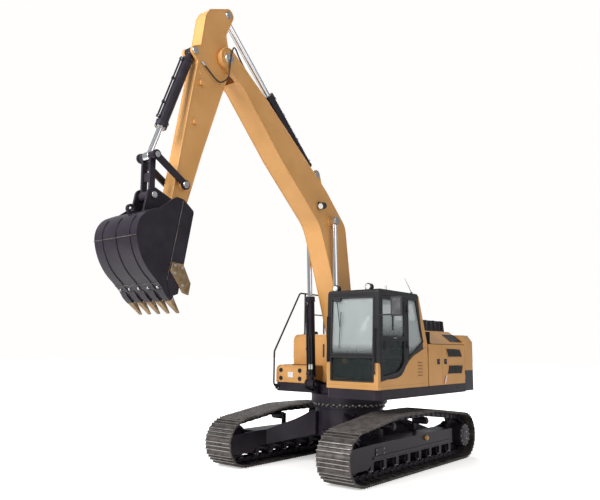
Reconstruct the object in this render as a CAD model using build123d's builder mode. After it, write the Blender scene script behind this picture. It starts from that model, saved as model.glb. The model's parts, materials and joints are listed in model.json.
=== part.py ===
from build123d import *
import os
from math import acos, asin, atan2, cos, degrees, hypot, radians, sin

os.makedirs("parts", exist_ok=True)

# Crawler excavator. Millimetres, +X forward, +Y left, +Z up.
# The origin lies on the swing axis, on the ground.

# Tracks
gauge = 2380
shoe_width = 600
shoe_pitch = 190
idler_x = 1800
idler_rim = 410
sprocket_x = -1780
sprocket_rim = 420
carrier_xs = (620, -520)
carrier_top = 980
link_outer = 50
link_inner = 50
shoe_plate = 11
grouser = 26
grouser_half = 13
grouser_shares = (0.16, 0.5, 0.84)
rail_width = 45
rail_spacing = 140
running_gap = 0.5

# Track frames, rollers and wheels of the undercarriage
frame_half = 180
frame_low = 310
frame_high = 570
frame_front = 1440
frame_rear = -1400
fork_plate = 25
fork_front = 2030
fork_low = 215
drive_plate = 40
drive_radius = 200
drive_outer = 260
roller_radius = 85
roller_half = 115
roller_count = 8
roller_first = -1330
roller_last = 1350
collar_width = 90
collar_thick = 40
carrier_radius = 65
carrier_sag = 8
sprocket_teeth = 22
sprocket_half = 22
idler_flange = 32
idler_flange_half = 36
idler_rim_wall = 35
idler_pocket = 40
hub_radius = 85
axle_radius = 40

# Car body and swing bearing
drum_radius = 620
drum_low = 480
drum_high = 1000
leg_x = (330, 800)
leg_width = (600, 700)
leg_root_y = 300
leg_root_z = (500, 900)
tow_plate = 40
tow_bore = 35
tow_x = 760
tow_z = 570
bearing_bore = 500
bearing_race = 600
bearing_gap = 0.5
bearing_outer = 700
bearing_high = 1110
bearing_skirt = 1050

# Upper frame
deck_low = 1210
deck_high = 1370
half_width = 1370
deck_rear = -2060
deck_front = 1200
deck_right_front = 530
deck_middle_front = 560
deck_plate = 20
skirt_wall = 90
bearing_plate = 780
boom_y = -50
cheek_in = 196
cheek_thick = 40
ear_in = 348
ear_thick = 38

# Pins of the boom, arm and bucket at rest, as (forward, up)
boom_foot = (145, 1820)
boom_tip = (3475, 6410)
boom_cyl_foot = (705, 1380)
boom_cyl_eye = (825, 4290)
arm_cyl_foot = (1115, 5120)
arm_cyl_eye = (3425, 7180)
bucket_cyl_foot = (4080, 6330)
guide_pin = (4215, 4250)
link_top = (4735, 4560)
link_low = (4725, 4010)
bucket_pin = (4305, 3840)
pin_gap = 0.05
side_gap = 6
boom_pin_r = 50
tip_pin_r = 45
cyl_pin_r = 40
bucket_pin_r = 40
link_pin_r = 36
pin_head = 14

# Boom and arm
boom_half = 190
boom_cyl_y = 292
fork_reach = 360
arm_half = 105
lug_in = 66
lug_thick = 45
boom_foot_boss = 150
boom_tip_boss = 165
arm_boss = 165
arm_tip_boss = 110
clevis_reach = 290
pipe_r = 18
pipe_ys = (-110, -40, 40, 110)
pipe_high = 45
clamp_length = 60
clamp_cap = 8

# Bucket linkage
guide_in = 151
guide_thick = 34
guide_bar = 48
guide_boss = 68
leg_in = 66
leg_out = 100
leg_bar = 45
link_top_boss = 60
link_low_boss = 70

# Cylinders: bore radius, rod radius, barrel length from the foot pin, rod length from the eye,
# start of the tube from the foot pin, eye radius, half width of the eyes
cyl_wall = 14
cyl_base = 25
neck_share = 0.85
gland_length = 90
gland_grow = 11
piston = 70
boom_cyl = (66, 44, 1570, 1712, 130, 80, 50)
arm_cyl = (74, 50, 1664, 1860, 190, 80, 60)
bucket_cyl = (62, 42, 1390, 1400, 150, 66, 60)

# Bucket
bucket_half = 452
bucket_side = 22
bucket_wall = 25
bucket_ear = 34
lip = (4645, 2636)
floor_end = (4890, 2865)
lip_length = 260
lip_thick = 40
tooth_count = 5
tooth_spacing = 195
tooth_length = 280
tooth_width = 112
tooth_tip = 58
adapter_width = 120
adapter_nose = 40
cutter_thick = 30
strip_ys = (-290, 0, 290)
strip_width = 60
strip_thick = 10
lift_eye_bore = 35
lift_eye = (4980, 3790)
lift_eye_half = 22

# Cab
cab_right = 360
cab_front = 1200
cab_roof = 2990
cab_wall = 60
door_gap = 6
glass = 8
glass_gap = 0.3
door_thick = 50
hinge_x = 262
hinge_r = 16
hinge_length = 60
sill_low = 1500
lever_z = 760
mirror_x = 1175
mirror_z = 2560

# Body panels and tanks
panel = 35
panel_top = 2120
panel_gap = 5
hood_top = 2375
hood_edge = 1040
hood_right = -600
bay_front = -660
left_seam = -1060
left_front = -525
tank_in = -440
tank_front = 20
tank_rear = -610
tank_top = 2290
oil_tank_rear = -1220
oil_tank_in = -640
oil_tank_top = 2240
box_front = 525
box_top = 1700
weight_top = 2310
weight_tail = 2860
weight_low = 1225
rail_r = 17
rail_top = 3130
rail_post = -300
rail_rear = -950
bay_gap = 0.3
grille_slots = 4
slot_high = 22
slot_depth = 40
grille_left = 950
grille_right = -400
cover_top = 2250
stack_place = (-1750, -950)
stack_r = 55
stack_wall = 6
stack_length = 280
knuckle_r = 6
knuckle_length = 90

track_y = gauge / 2
shoe_out = link_outer + shoe_plate + grouser
idler_pitch = idler_rim - shoe_out
sprocket_pitch = sprocket_rim - shoe_out


def across(y, x=0, z=0):
    """Plane standing along the machine at y: local x is forward, local y up, pull to the right."""
    return Plane(origin=(x, y, z), x_dir=(1, 0, 0), z_dir=(0, -1, 0))


def facing(x):
    """Plane standing across the machine at x: local x is left, local y up, pull forward."""
    return Plane.YZ.offset(x)


def save(part, name):
    """Label a finished piece and write its file."""
    part.label = name
    export_step(part, f"parts/{name}.step")


def web_hull(y, circles, half, bores=()):
    """A plate about y whose outline wraps the circles, given as (centre, radius), with bores through it."""
    with BuildPart() as plate:
        with BuildSketch(across(y)):
            for centre, radius in circles:
                with Locations(centre):
                    Circle(radius)
            make_hull()
            for centre, radius in bores:
                with Locations(centre):
                    Circle(radius + pin_gap, mode=Mode.SUBTRACT)
        extrude(amount=half, both=True)
    return plate.part


def pins(rows):
    """Round pins across the boom plane, each as (centre, radius, half length)."""
    with BuildPart() as made:
        for centre, radius, half in rows:
            with BuildSketch(across(boom_y, *centre)):
                Circle(radius)
            extrude(amount=half, both=True)
    return made.part


def track_pins():
    """Link pins of one track, a pitch apart, forward along the ground and back over the top."""
    top = carrier_top - shoe_out
    front, rear = ((x, top) for x in carrier_xs)

    def tangent(x, z, radius, point, turn):
        run = (point[0] - x, point[1] - z)
        return atan2(run[1], run[0]) + turn * acos(radius / hypot(*run))

    leave = tangent(idler_x, idler_rim, idler_pitch, front, -1)
    meet = tangent(sprocket_x, sprocket_rim, sprocket_pitch, rear, 1)
    with BuildLine() as path:
        Line((sprocket_x, shoe_out), (idler_x, shoe_out))
        nose = CenterArc((idler_x, idler_rim), idler_pitch, -90, degrees(leave) + 90)
        tail = CenterArc((sprocket_x, sprocket_rim), sprocket_pitch, degrees(meet), 270 - degrees(meet))
        Polyline(nose @ 1, front, rear, tail @ 0)
    loop = path.wires()[0]
    count = round(loop.length / shoe_pitch)
    steps = [loop.length * i / count for i in range(count)]
    pins = [loop.position_at(s, position_mode=PositionMode.LENGTH) for s in steps]
    turned = sum(a.X * b.Y - b.X * a.Y for a, b in zip(pins, pins[1:]))
    return pins if turned > 0 else pins[::-1]


def beside(pins, height):
    """The loop of pins moved outward by a height."""
    moved = []
    for before, here, after in zip(pins[-1:] + pins[:-1], pins, pins[1:] + pins[:1]):
        along = (after - before).normalized()
        moved.append(here + Vector(along.Y, -along.X) * height)
    return moved


def shoe_outline(pins):
    """Outside of the shoes, each with its grouser bars."""
    points = []
    for start, end in zip(pins, pins[1:] + pins[:1]):
        run = end - start
        along = run.normalized()
        out = Vector(along.Y, -along.X)
        for share in grouser_shares:
            foot = start + run * share + out * (link_outer + shoe_plate)
            points += [foot - along * grouser_half, foot + out * grouser, foot + along * grouser_half]
    return points


def flat(points):
    """Plain pairs from drawn points."""
    return [(p.X, p.Y) for p in points]


def track(side):
    """One track: the shoes as a closed loop on the two rails of the link chain."""
    pins = track_pins()
    inside = flat(beside(pins, link_outer))
    with BuildPart() as loop:
        with BuildSketch(across(side * track_y)):
            Polygon(*flat(shoe_outline(pins)), align=None)
            Polygon(*inside, align=None, mode=Mode.SUBTRACT)
        extrude(amount=shoe_width / 2, both=True)
        for rail in (-1, 1):
            with BuildSketch(across(side * track_y + rail * rail_spacing / 2)):
                Polygon(*inside, align=None)
                Polygon(*flat(beside(pins, -link_inner)), align=None, mode=Mode.SUBTRACT)
            extrude(amount=rail_width / 2, both=True)
    return loop.part


for side, name in ((1, "left"), (-1, "right")):
    save(track(side), f"track_{name}")


# Track frames: a box beam with a fork at the front for the idler and a drive mount at the rear
with BuildPart() as track_frames:
    for side in (-1, 1):
        middle = side * track_y
        with BuildSketch(across(middle)):
            Polygon((frame_rear, frame_low), (frame_front, frame_low), (frame_front, frame_high),
                    (frame_rear, frame_high), align=None)
        extrude(amount=frame_half, both=True)
        for plate in (-1, 1):
            with BuildSketch(across(middle + plate * (frame_half - fork_plate / 2))) as fork:
                Polygon((frame_front - 60, frame_low), (frame_front + 70, fork_low), (fork_front, fork_low),
                        (fork_front, frame_high - 20), (frame_front - 60, frame_high), align=None)
                fillet(fork.vertices().group_by(Axis.X)[-1], 60)
            extrude(amount=fork_plate / 2, both=True)
        with BuildSketch(across(middle - side * (frame_half - drive_plate / 2))):
            with Locations((sprocket_x, sprocket_rim)):
                Circle(drive_radius + 25)
            Polygon((sprocket_x, fork_low), (frame_rear + 20, frame_low), (frame_rear + 20, frame_high),
                    (sprocket_x, sprocket_rim + drive_radius), align=None)
        extrude(amount=drive_plate / 2, both=True)
save(track_frames.part, "track_frames")

# Bottom rollers on their collars, and carrier rollers on their brackets
roller_z = shoe_out + link_inner + running_gap + roller_radius
roller_step = (roller_last - roller_first) / (roller_count - 1)
with BuildPart() as track_rollers:
    for side in (-1, 1):
        middle = side * track_y
        for i in range(roller_count):
            x = roller_first + roller_step * i
            with BuildSketch(across(middle, x, roller_z)):
                Circle(roller_radius)
            extrude(amount=roller_half, both=True)
            for end in (-1, 1):
                collar_low = roller_z - collar_width / 2
                with Locations((x, middle + end * (roller_half + collar_thick / 2),
                                (collar_low + frame_low) / 2)):
                    Box(collar_width, collar_thick, frame_low - collar_low)
        for x in carrier_xs:
            carrier_z = carrier_top - shoe_out - link_inner - carrier_sag - carrier_radius
            with BuildSketch(across(middle, x, carrier_z)):
                Circle(carrier_radius)
            extrude(amount=roller_half, both=True)
            with Locations((x, middle - side * (roller_half + collar_thick / 2),
                            (frame_high + carrier_z + collar_width / 2) / 2)):
                Box(collar_width, collar_thick, carrier_z + collar_width / 2 - frame_high)
save(track_rollers.part, "track_rollers")

# Drive sprockets with their final drives
with BuildPart() as sprockets:
    for side in (-1, 1):
        middle = side * track_y
        with BuildSketch(across(middle, sprocket_x, sprocket_rim)):
            Circle(sprocket_pitch - 22)
            with PolarLocations(sprocket_pitch - 12, sprocket_teeth):
                Trapezoid(64, 48, 68, rotation=-90)
        extrude(amount=sprocket_half, both=True)
        drum_ends = (-(frame_half - drive_plate), drive_outer)
        drum_middle = middle + side * sum(drum_ends) / 2
        with BuildSketch(across(drum_middle, sprocket_x, sprocket_rim)):
            Circle(drive_radius)
        extrude(amount=(drum_ends[1] - drum_ends[0]) / 2, both=True)
save(sprockets.part, "sprockets")

# Front idlers on their axles between the fork plates
idler_tread = (idler_pitch - link_inner) * cos(asin(shoe_pitch / 2 / idler_pitch)) - running_gap
with BuildPart() as idlers:
    for side in (-1, 1):
        rings = ((idler_tread, roller_half - 20), (idler_tread + idler_flange, idler_flange_half),
                 (axle_radius, frame_half - fork_plate))
        for radius, half in rings:
            with BuildSketch(across(side * track_y, idler_x, idler_rim)):
                Circle(radius)
            extrude(amount=half, both=True)
        for face in (-1, 1):
            with BuildSketch(across(side * track_y + face * (roller_half - 20), idler_x, idler_rim)):
                Circle(idler_tread - idler_rim_wall)
                Circle(hub_radius, mode=Mode.SUBTRACT)
            extrude(amount=face * idler_pocket, mode=Mode.SUBTRACT)
save(idlers.part, "idlers")

# Car body: a drum on four legs that run out to the track frames, with towing eyes
with BuildPart() as car_body:
    with BuildSketch(Plane.XY.offset(drum_low)):
        Circle(drum_radius)
    extrude(amount=drum_high - drum_low)
    for x_side in (-1, 1):
        for y_side in (-1, 1):
            root_z = sum(leg_root_z) / 2
            foot_z = (frame_low + frame_high) / 2
            with BuildSketch(across(y_side * leg_root_y, x_side * leg_x[0], root_z)):
                Rectangle(leg_width[0], leg_root_z[1] - leg_root_z[0])
            with BuildSketch(across(y_side * (track_y - frame_half), x_side * leg_x[1], foot_z)):
                Rectangle(leg_width[1], frame_high - frame_low)
            loft()
        with BuildSketch(Plane.XY.offset(tow_z)):
            with Locations((x_side * tow_x, 0)):
                Circle(2.3 * tow_bore)
            with Locations((x_side * (drum_radius - 40), 0)):
                Circle(2.9 * tow_bore)
            make_hull()
            with Locations((x_side * tow_x, 0)):
                Circle(tow_bore, mode=Mode.SUBTRACT)
        extrude(amount=tow_plate)
save(car_body.part, "car_body")

# Swing bearing: the inner ring is bolted to the car body, the outer ring to the upper frame
with BuildPart() as bearing_inner:
    with BuildSketch(Plane.XY.offset(drum_high)):
        Circle(bearing_race)
        Circle(bearing_bore, mode=Mode.SUBTRACT)
    extrude(amount=bearing_high - drum_high)
save(bearing_inner.part, "bearing_inner_ring")

with BuildPart() as bearing_shell:
    with BuildSketch(Plane.XY.offset(bearing_skirt)):
        Circle(bearing_outer)
        Circle(bearing_race + bearing_gap, mode=Mode.SUBTRACT)
    extrude(amount=deck_low - bearing_skirt)
save(bearing_shell.part, "bearing_outer_ring")

# Upper frame: deck with its skirt, and the cheeks that carry the boom and its cylinders
deck_outline = ((deck_rear, -half_width), (deck_right_front, -half_width), (deck_right_front, tank_in),
                (deck_middle_front, tank_in), (deck_middle_front, cab_right - 20),
                (deck_front, cab_right - 20), (deck_front, half_width), (deck_rear, half_width))
with BuildPart() as main_frame:
    with BuildSketch(Plane.XY.offset(deck_low)) as deck:
        Polygon(*deck_outline, align=None)
        corners = [(deck_front, half_width), (deck_right_front, -half_width), (deck_front, cab_right - 20)]
        fillet([deck.vertices().sort_by_distance((x, y, 0))[0] for x, y in corners], 110)
    extrude(amount=deck_high - deck_low)
    with BuildSketch(Plane.XY.offset(deck_low)) as pockets:
        for x0, x1, y0, y1 in ((deck_rear + skirt_wall, deck_right_front - skirt_wall,
                                -half_width + skirt_wall, -bearing_plate),
                               (deck_rear + skirt_wall, deck_front - skirt_wall,
                                bearing_plate, half_width - skirt_wall)):
            with Locations(((x0 + x1) / 2, (y0 + y1) / 2)):
                Rectangle(x1 - x0, y1 - y0)
    extrude(amount=deck_high - deck_low - deck_plate, mode=Mode.SUBTRACT)
    for side in (-1, 1):
        cheek = boom_y + side * (cheek_in + cheek_thick / 2)
        add(web_hull(cheek, ((boom_foot, 140), ((-560, deck_high - 60), 60), ((300, deck_high - 60), 60)),
                     cheek_thick / 2, ((boom_foot, boom_pin_r),)))
        add(web_hull(cheek, ((boom_cyl_foot, 90), ((300, deck_high - 60), 60),
                             ((deck_middle_front, deck_low + 40), 40)),
                     cheek_thick / 2, ((boom_cyl_foot, cyl_pin_r),)))
        add(web_hull(boom_y + side * (ear_in + ear_thick / 2),
                     ((boom_cyl_foot, 90), ((deck_middle_front - 60, deck_low + 80), 70)), ear_thick / 2,
                     ((boom_cyl_foot, cyl_pin_r),)))
save(main_frame.part, "main_frame")

# Pins that the upper frame holds: boom foot pin and the feet of the boom cylinders
with BuildPart() as frame_pins:
    with BuildSketch(across(boom_y, *boom_foot)):
        Circle(boom_pin_r)
    extrude(amount=cheek_in + cheek_thick + pin_head, both=True)
    for side in (-1, 1):
        low, high = cheek_in + pin_gap, ear_in + ear_thick
        with BuildSketch(across(boom_y + side * (low + high) / 2, *boom_cyl_foot)):
            Circle(cyl_pin_r)
        extrude(amount=(high - low) / 2, both=True)
save(frame_pins.part, "frame_pins")

# Counterweight: a casting whose tail follows an arc about the swing axis, with lifting eyes on top
weight_front = deck_rear
with BuildPart() as counterweight:
    with BuildSketch(Plane.XY.offset(weight_low)) as plan:
        with Locations((0, 0)):
            Circle(weight_tail)
        with Locations((weight_front - 500, 0)):
            Rectangle(1000, 2 * half_width, mode=Mode.INTERSECT)
    extrude(amount=weight_top - weight_low)
    upright = counterweight.edges().filter_by(Axis.Z).group_by(Axis.X)[0]
    fillet(upright, 190)
    rim = counterweight.faces().sort_by(Axis.Z)[-1].edges().filter_by(GeomType.LINE, reverse=True)
    chamfer(rim, 130, 90)
    for side in (-1, 1):
        with BuildSketch(across(side * 620)):
            with Locations((weight_front - 260, weight_top + 45)):
                Circle(85)
            with Locations((weight_front - 260, weight_top - 30)):
                Rectangle(190, 100)
            with Locations((weight_front - 260, weight_top + 45)):
                Circle(lift_eye_bore, mode=Mode.SUBTRACT)
        extrude(amount=22, both=True)
save(counterweight.part, "counterweight")

# Engine: one plain block between the cab and the counterweight
with BuildPart() as engine:
    with Locations(((bay_front + deck_rear) / 2 - 120, 0, deck_high)):
        Box(720, 1050, 700, align=(Align.CENTER, Align.CENTER, Align.MIN))
save(engine.part, "engine")


def along(foot, eye, y):
    """Plane on a cylinder's axis: local x runs from its foot pin to its eye."""
    return Plane(origin=(foot[0], y, foot[1]), x_dir=(eye[0] - foot[0], 0, eye[1] - foot[1]),
                 z_dir=(0, -1, 0))


def barrels(foot, eye, ys, sizes):
    """Cylinder barrels with their foot eyes and glands, one for each y."""
    bore, rod, length, _, start, eye_r, half = sizes
    skin, fit, gland = bore + cyl_wall, rod + running_gap, length - gland_length
    with BuildPart() as part:
        for y in ys:
            axis = along(foot, eye, y)
            with BuildSketch(axis):
                Polygon((0, 0), (0, neck_share * half), (start, neck_share * half), (start, skin),
                        (gland, skin), (gland, skin + gland_grow), (length, skin + gland_grow),
                        (length, fit), (gland, fit),
                        (gland, bore), (start + cyl_base, bore), (start + cyl_base, 0), align=None)
            revolve(axis=Axis(axis.origin, axis.x_dir))
            with BuildSketch(axis):
                Circle(eye_r)
            extrude(amount=half, both=True)
            with BuildSketch(axis):
                Circle(cyl_pin_r + pin_gap)
            extrude(amount=half, both=True, mode=Mode.SUBTRACT)
    return part.part


def rods(foot, eye, ys, sizes):
    """Piston rods with their pistons and eyes, one for each y."""
    bore, rod, _, length, _, eye_r, half = sizes
    reach = hypot(eye[0] - foot[0], eye[1] - foot[1])
    head = reach - length
    with BuildPart() as part:
        for y in ys:
            axis = along(foot, eye, y)
            with BuildSketch(axis):
                Polygon((head, 0), (head, bore - running_gap), (head + piston, bore - running_gap),
                        (head + piston, rod), (reach, rod), (reach, 0), align=None)
            revolve(axis=Axis(axis.origin, axis.x_dir))
            with BuildSketch(axis):
                with Locations((reach, 0)):
                    Circle(eye_r)
            extrude(amount=half, both=True)
    return part.part


cylinders = (("boom", boom_cyl_foot, boom_cyl_eye, (boom_y - boom_cyl_y, boom_y + boom_cyl_y), boom_cyl),
             ("arm", arm_cyl_foot, arm_cyl_eye, (boom_y,), arm_cyl),
             ("bucket", bucket_cyl_foot, link_top, (boom_y,), bucket_cyl))
for name, foot, eye, ys, sizes in cylinders:
    save(barrels(foot, eye, ys, sizes), f"{name}_barrels" if len(ys) > 1 else f"{name}_barrel")
    save(rods(foot, eye, ys, sizes), f"{name}_rods" if len(ys) > 1 else f"{name}_rod")


# Boom: a bent box beam with a fork for the arm, lugs for the arm cylinder and bosses for its own
boom_outline = ((5, 1850), (160, 3110), (345, 4270), (945, 4830), (2595, 6030), (3375, 6540),
                (3585, 6300), (3145, 6060), (2205, 5120), (1125, 4190), (805, 3430), (425, 2370),
                (285, 1770))
boom_bends = (((345, 4270), 350), ((945, 4830), 900), ((1125, 4190), 700))
fork_in = arm_half + side_gap
with BuildPart() as boom:
    with BuildSketch(across(boom_y)) as web:
        Polygon(*boom_outline, align=None)
        for (x, z), radius in boom_bends:
            fillet(web.vertices().sort_by_distance((x, z, 0))[0], radius)
        for centre, radius in ((boom_foot, boom_foot_boss), (boom_tip, boom_tip_boss)):
            with Locations(centre):
                Circle(radius)
    extrude(amount=boom_half, both=True)
    with BuildSketch(across(boom_y, *boom_tip)):
        Circle(fork_reach)
    extrude(amount=fork_in, both=True, mode=Mode.SUBTRACT)
    for side in (-1, 1):
        add(web_hull(boom_y + side * (lug_in + lug_thick / 2),
                     ((arm_cyl_foot, 85), ((960, 4780), 60), ((1330, 5050), 60)), lug_thick / 2))
    with BuildSketch(across(boom_y, *boom_cyl_eye)):
        Circle(2.4 * cyl_pin_r)
    extrude(amount=boom_cyl_y - boom_cyl[6] - side_gap, both=True)
    for centre, radius in ((boom_foot, boom_pin_r), (boom_tip, tip_pin_r), (arm_cyl_foot, cyl_pin_r)):
        with BuildSketch(across(boom_y, *centre)):
            Circle(radius + pin_gap)
        extrude(amount=2 * boom_half, both=True, mode=Mode.SUBTRACT)
save(boom.part, "boom")
save(pins(((boom_tip, tip_pin_r, boom_half + pin_head),
           (arm_cyl_foot, cyl_pin_r, lug_in + lug_thick + pin_head))), "boom_pins")

# Oil pipes along the boom's back, on clamp blocks
pipe_line = (boom_outline[3], boom_outline[4])
pipe_plane = along(*pipe_line, boom_y)
pipe_run = hypot(pipe_line[1][0] - pipe_line[0][0], pipe_line[1][1] - pipe_line[0][1])
with BuildPart() as boom_pipes:
    for share in (0.4, 0.68, 0.96):
        with BuildSketch(pipe_plane):
            with Locations((share * pipe_run, 0)):
                Rectangle(clamp_length, pipe_high + pipe_r + clamp_cap, align=(Align.CENTER, Align.MIN))
        extrude(amount=pipe_ys[-1] + 2 * pipe_r, both=True)
    for y in pipe_ys:
        start = pipe_plane.from_local_coords((0.36 * pipe_run, pipe_high, -y))
        with BuildSketch(Plane(origin=start, z_dir=pipe_plane.x_dir)):
            Circle(pipe_r)
        extrude(amount=0.63 * pipe_run)
save(boom_pipes.part, "boom_pipes")

# Arm: a tapered box beam with a clevis for its cylinder and lugs for the bucket cylinder
arm_outline = ((3340, 6410), (3435, 6090), (3875, 4820), (4190, 3810), (4425, 3870), (4185, 5260),
               (3995, 6340), (3905, 6960), (3825, 7100), (3440, 7273), (3333, 7150), (3470, 6830),
               (3435, 6670))
with BuildPart() as arm:
    with BuildSketch(across(boom_y)) as web:
        Polygon(*arm_outline, align=None)
        fillet([web.vertices().sort_by_distance((x, z, 0))[0] for x, z in ((3905, 6960), (3825, 7100))], 70)
        for centre, radius in ((boom_tip, arm_boss), (bucket_pin, arm_tip_boss), (arm_cyl_eye, 95)):
            with Locations(centre):
                Circle(radius)
    extrude(amount=arm_half, both=True)
    with BuildSketch(across(boom_y, *arm_cyl_eye)):
        Circle(clevis_reach)
    extrude(amount=lug_in, both=True, mode=Mode.SUBTRACT)
    for side in (-1, 1):
        add(web_hull(boom_y + side * (lug_in + arm_half) / 2,
                     ((bucket_cyl_foot, bucket_cyl[5]), ((3930, 6440), 40), ((3975, 6200), 40)),
                     (arm_half - lug_in) / 2))
    with BuildSketch(across(boom_y, *guide_pin)):
        Circle(70)
    extrude(amount=guide_in - side_gap, both=True)
    for centre, radius in ((boom_tip, tip_pin_r), (bucket_pin, bucket_pin_r), (guide_pin, link_pin_r),
                           (bucket_cyl_foot, cyl_pin_r)):
        with BuildSketch(across(boom_y, *centre)):
            Circle(radius + pin_gap)
        extrude(amount=2 * arm_half, both=True, mode=Mode.SUBTRACT)
save(arm.part, "arm")
save(pins(((guide_pin, link_pin_r, guide_in + guide_thick + pin_head),
           (bucket_cyl_foot, cyl_pin_r, arm_half + pin_head))), "arm_pins")

# Guide links: a pair of bars from the arm to the rod eye of the bucket cylinder
with BuildPart() as guide_links:
    for side in (-1, 1):
        middle = boom_y + side * (guide_in + guide_thick / 2)
        add(web_hull(middle, ((guide_pin, guide_bar), (link_top, guide_bar)), guide_thick / 2))
        with BuildSketch(across(middle)):
            with Locations(guide_pin, link_top):
                Circle(guide_boss)
        extrude(amount=guide_thick / 2, both=True)
        with BuildSketch(across(middle, *guide_pin)):
            Circle(link_pin_r + pin_gap)
        extrude(amount=guide_thick / 2, both=True, mode=Mode.SUBTRACT)
        with BuildSketch(across(middle + side * guide_thick / 2, *link_top)):
            Circle(1.4 * link_pin_r)
        extrude(amount=-side * pin_head)
save(guide_links.part, "guide_links")

# Bucket link: two legs joined by a cross plate, from the guide links down to the bucket
link_run = hypot(link_low[0] - link_top[0], link_low[1] - link_top[1])
with BuildPart() as bucket_link:
    for side in (-1, 1):
        add(web_hull(boom_y + side * (leg_in + leg_out) / 2, ((link_top, leg_bar), (link_low, leg_bar)),
                     (leg_out - leg_in) / 2))
        boss_out = guide_in - side_gap - 2
        with BuildSketch(across(boom_y + side * (leg_in + boss_out) / 2, *link_top)):
            Circle(link_top_boss)
        extrude(amount=(boss_out - leg_in) / 2, both=True)
    with BuildSketch(across(boom_y, *link_low)):
        Circle(link_low_boss)
    extrude(amount=leg_out, both=True)
    with BuildSketch(along(link_top, link_low, boom_y)):
        with Locations((0.53 * link_run, 0)):
            Rectangle(0.22 * link_run, 40)
    extrude(amount=leg_in + 2, both=True)
    with BuildSketch(across(boom_y, *link_low)):
        Circle(link_pin_r + pin_gap)
    extrude(amount=leg_out, both=True, mode=Mode.SUBTRACT)
save(bucket_link.part, "bucket_link")


def bucket_profile():
    """Side view of the bucket: flat floor behind the lip, rolled back, top under the hinge ears."""
    with BuildSketch() as profile:
        with BuildLine():
            Line(lip, floor_end)
            ThreePointArc(floor_end, (5110, 3120), (5195, 3380))
            ThreePointArc((5195, 3380), (5155, 3580), (5030, 3700))
            Polyline((5030, 3700), (4900, 3760), (4600, 3865), (4560, 3850), (4440, 3740), (4425, 3690),
                     (4500, 3070), lip)
        make_face()
    return profile.sketch


# Bucket: a rolled shell between two side plates, with hinge ears, a thick lip and a lifting eye
lip_run = Vector(lip[0] - floor_end[0], 0, lip[1] - floor_end[1]).normalized()
lip_out = Vector(-lip_run.Z, 0, lip_run.X)
tooth_ys = [boom_y + (i - (tooth_count - 1) / 2) * tooth_spacing for i in range(tooth_count)]


def lip_plane(y):
    """Plane at the lip's edge: local x runs on past the edge, local y down out of the bucket."""
    return Plane(origin=(lip[0], y, lip[1]), x_dir=lip_run, z_dir=(0, -1, 0))


with BuildPart() as bucket:
    with BuildSketch(across(boom_y)):
        add(bucket_profile())
    extrude(amount=bucket_half, both=True)
    with BuildSketch(across(boom_y)):
        add(bucket_profile())
        offset(amount=-bucket_wall, kind=Kind.INTERSECTION)
        Polygon((4300, 3680), (4460, 3680), (lip[0] + 60, lip[1] + 105), (lip[0] - 20, lip[1] + 35),
                (lip[0] - 190, lip[1] + 20), align=None)
    extrude(amount=bucket_half - bucket_side, both=True, mode=Mode.SUBTRACT)
    for side in (-1, 1):
        with BuildSketch(across(boom_y + side * (bucket_half - bucket_side / 2))) as plate:
            Polygon((4900, 3740), (4590, 3966), (4467, 3950), (4285, 3817), (4422, 3096), (4505, 2690), lip,
                    (4700, 3000), align=None)
            for (x, z), radius in (((4590, 3966), 60), ((4467, 3950), 90), ((4285, 3817), 50)):
                fillet(plate.vertices().sort_by_distance((x, z, 0))[0], radius)
        extrude(amount=bucket_side / 2, both=True)
    with BuildSketch(lip_plane(boom_y)):
        Rectangle(lip_length, lip_thick, align=(Align.MAX, Align.MAX))
    extrude(amount=bucket_half, both=True)
    for y in tooth_ys:
        with BuildSketch(lip_plane(y)):
            Polygon((-150, -10), (-150, 6), (-60, 24), (adapter_nose, 20), (adapter_nose, -lip_thick - 20),
                    (-60, -lip_thick - 24), (-150, -lip_thick - 6), (-150, 10 - lip_thick), align=None)
        extrude(amount=adapter_width / 2, both=True)
    for side in (-1, 1):
        add(web_hull(boom_y + side * (fork_in + bucket_ear / 2),
                     ((bucket_pin, 115), (link_low, 105), ((4860, 3740), 25), ((4475, 3735), 25)),
                     bucket_ear / 2, ((bucket_pin, bucket_pin_r), (link_low, link_pin_r))))
    for y in strip_ys:
        with BuildSketch(across(boom_y + y)):
            add(bucket_profile())
            offset(amount=strip_thick, kind=Kind.INTERSECTION)
            add(bucket_profile(), mode=Mode.SUBTRACT)
            Polygon((4760, 2600), (5400, 2600), (5400, 3640), (5080, 3640), (4760, 3100), align=None,
                    mode=Mode.INTERSECT)
        extrude(amount=strip_width / 2, both=True)
    add(web_hull(boom_y, ((lift_eye, 65), ((lift_eye[0] - 30, lift_eye[1] - 75), 45)), lift_eye_half,
                 ((lift_eye, lift_eye_bore),)))
save(bucket.part, "bucket")
ear_out = fork_in + bucket_ear + pin_head
save(pins(((bucket_pin, bucket_pin_r, ear_out), (link_low, link_pin_r, ear_out))), "bucket_pins")


def tooth_point(y):
    """Wedge point on an adapter's nose, thinner and narrower towards its tip."""
    with BuildPart() as point:
        with BuildSketch(lip_plane(y)):
            Polygon((adapter_nose, 20), (tooth_length, 4), (tooth_length, -12),
                    (adapter_nose, -lip_thick - 20), align=None)
        extrude(amount=tooth_width / 2, both=True)
        with BuildSketch(Plane(origin=(lip[0], y, lip[1]), x_dir=lip_run, z_dir=lip_out)):
            Polygon((adapter_nose, -tooth_width / 2), (adapter_nose, tooth_width / 2),
                    (tooth_length, tooth_tip / 2), (tooth_length, -tooth_tip / 2), align=None)
        extrude(amount=2 * lip_thick, both=True, mode=Mode.INTERSECT)
    return point.part


with BuildPart() as teeth:
    for y in tooth_ys:
        add(tooth_point(y))
save(teeth.part, "bucket_teeth")

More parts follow.
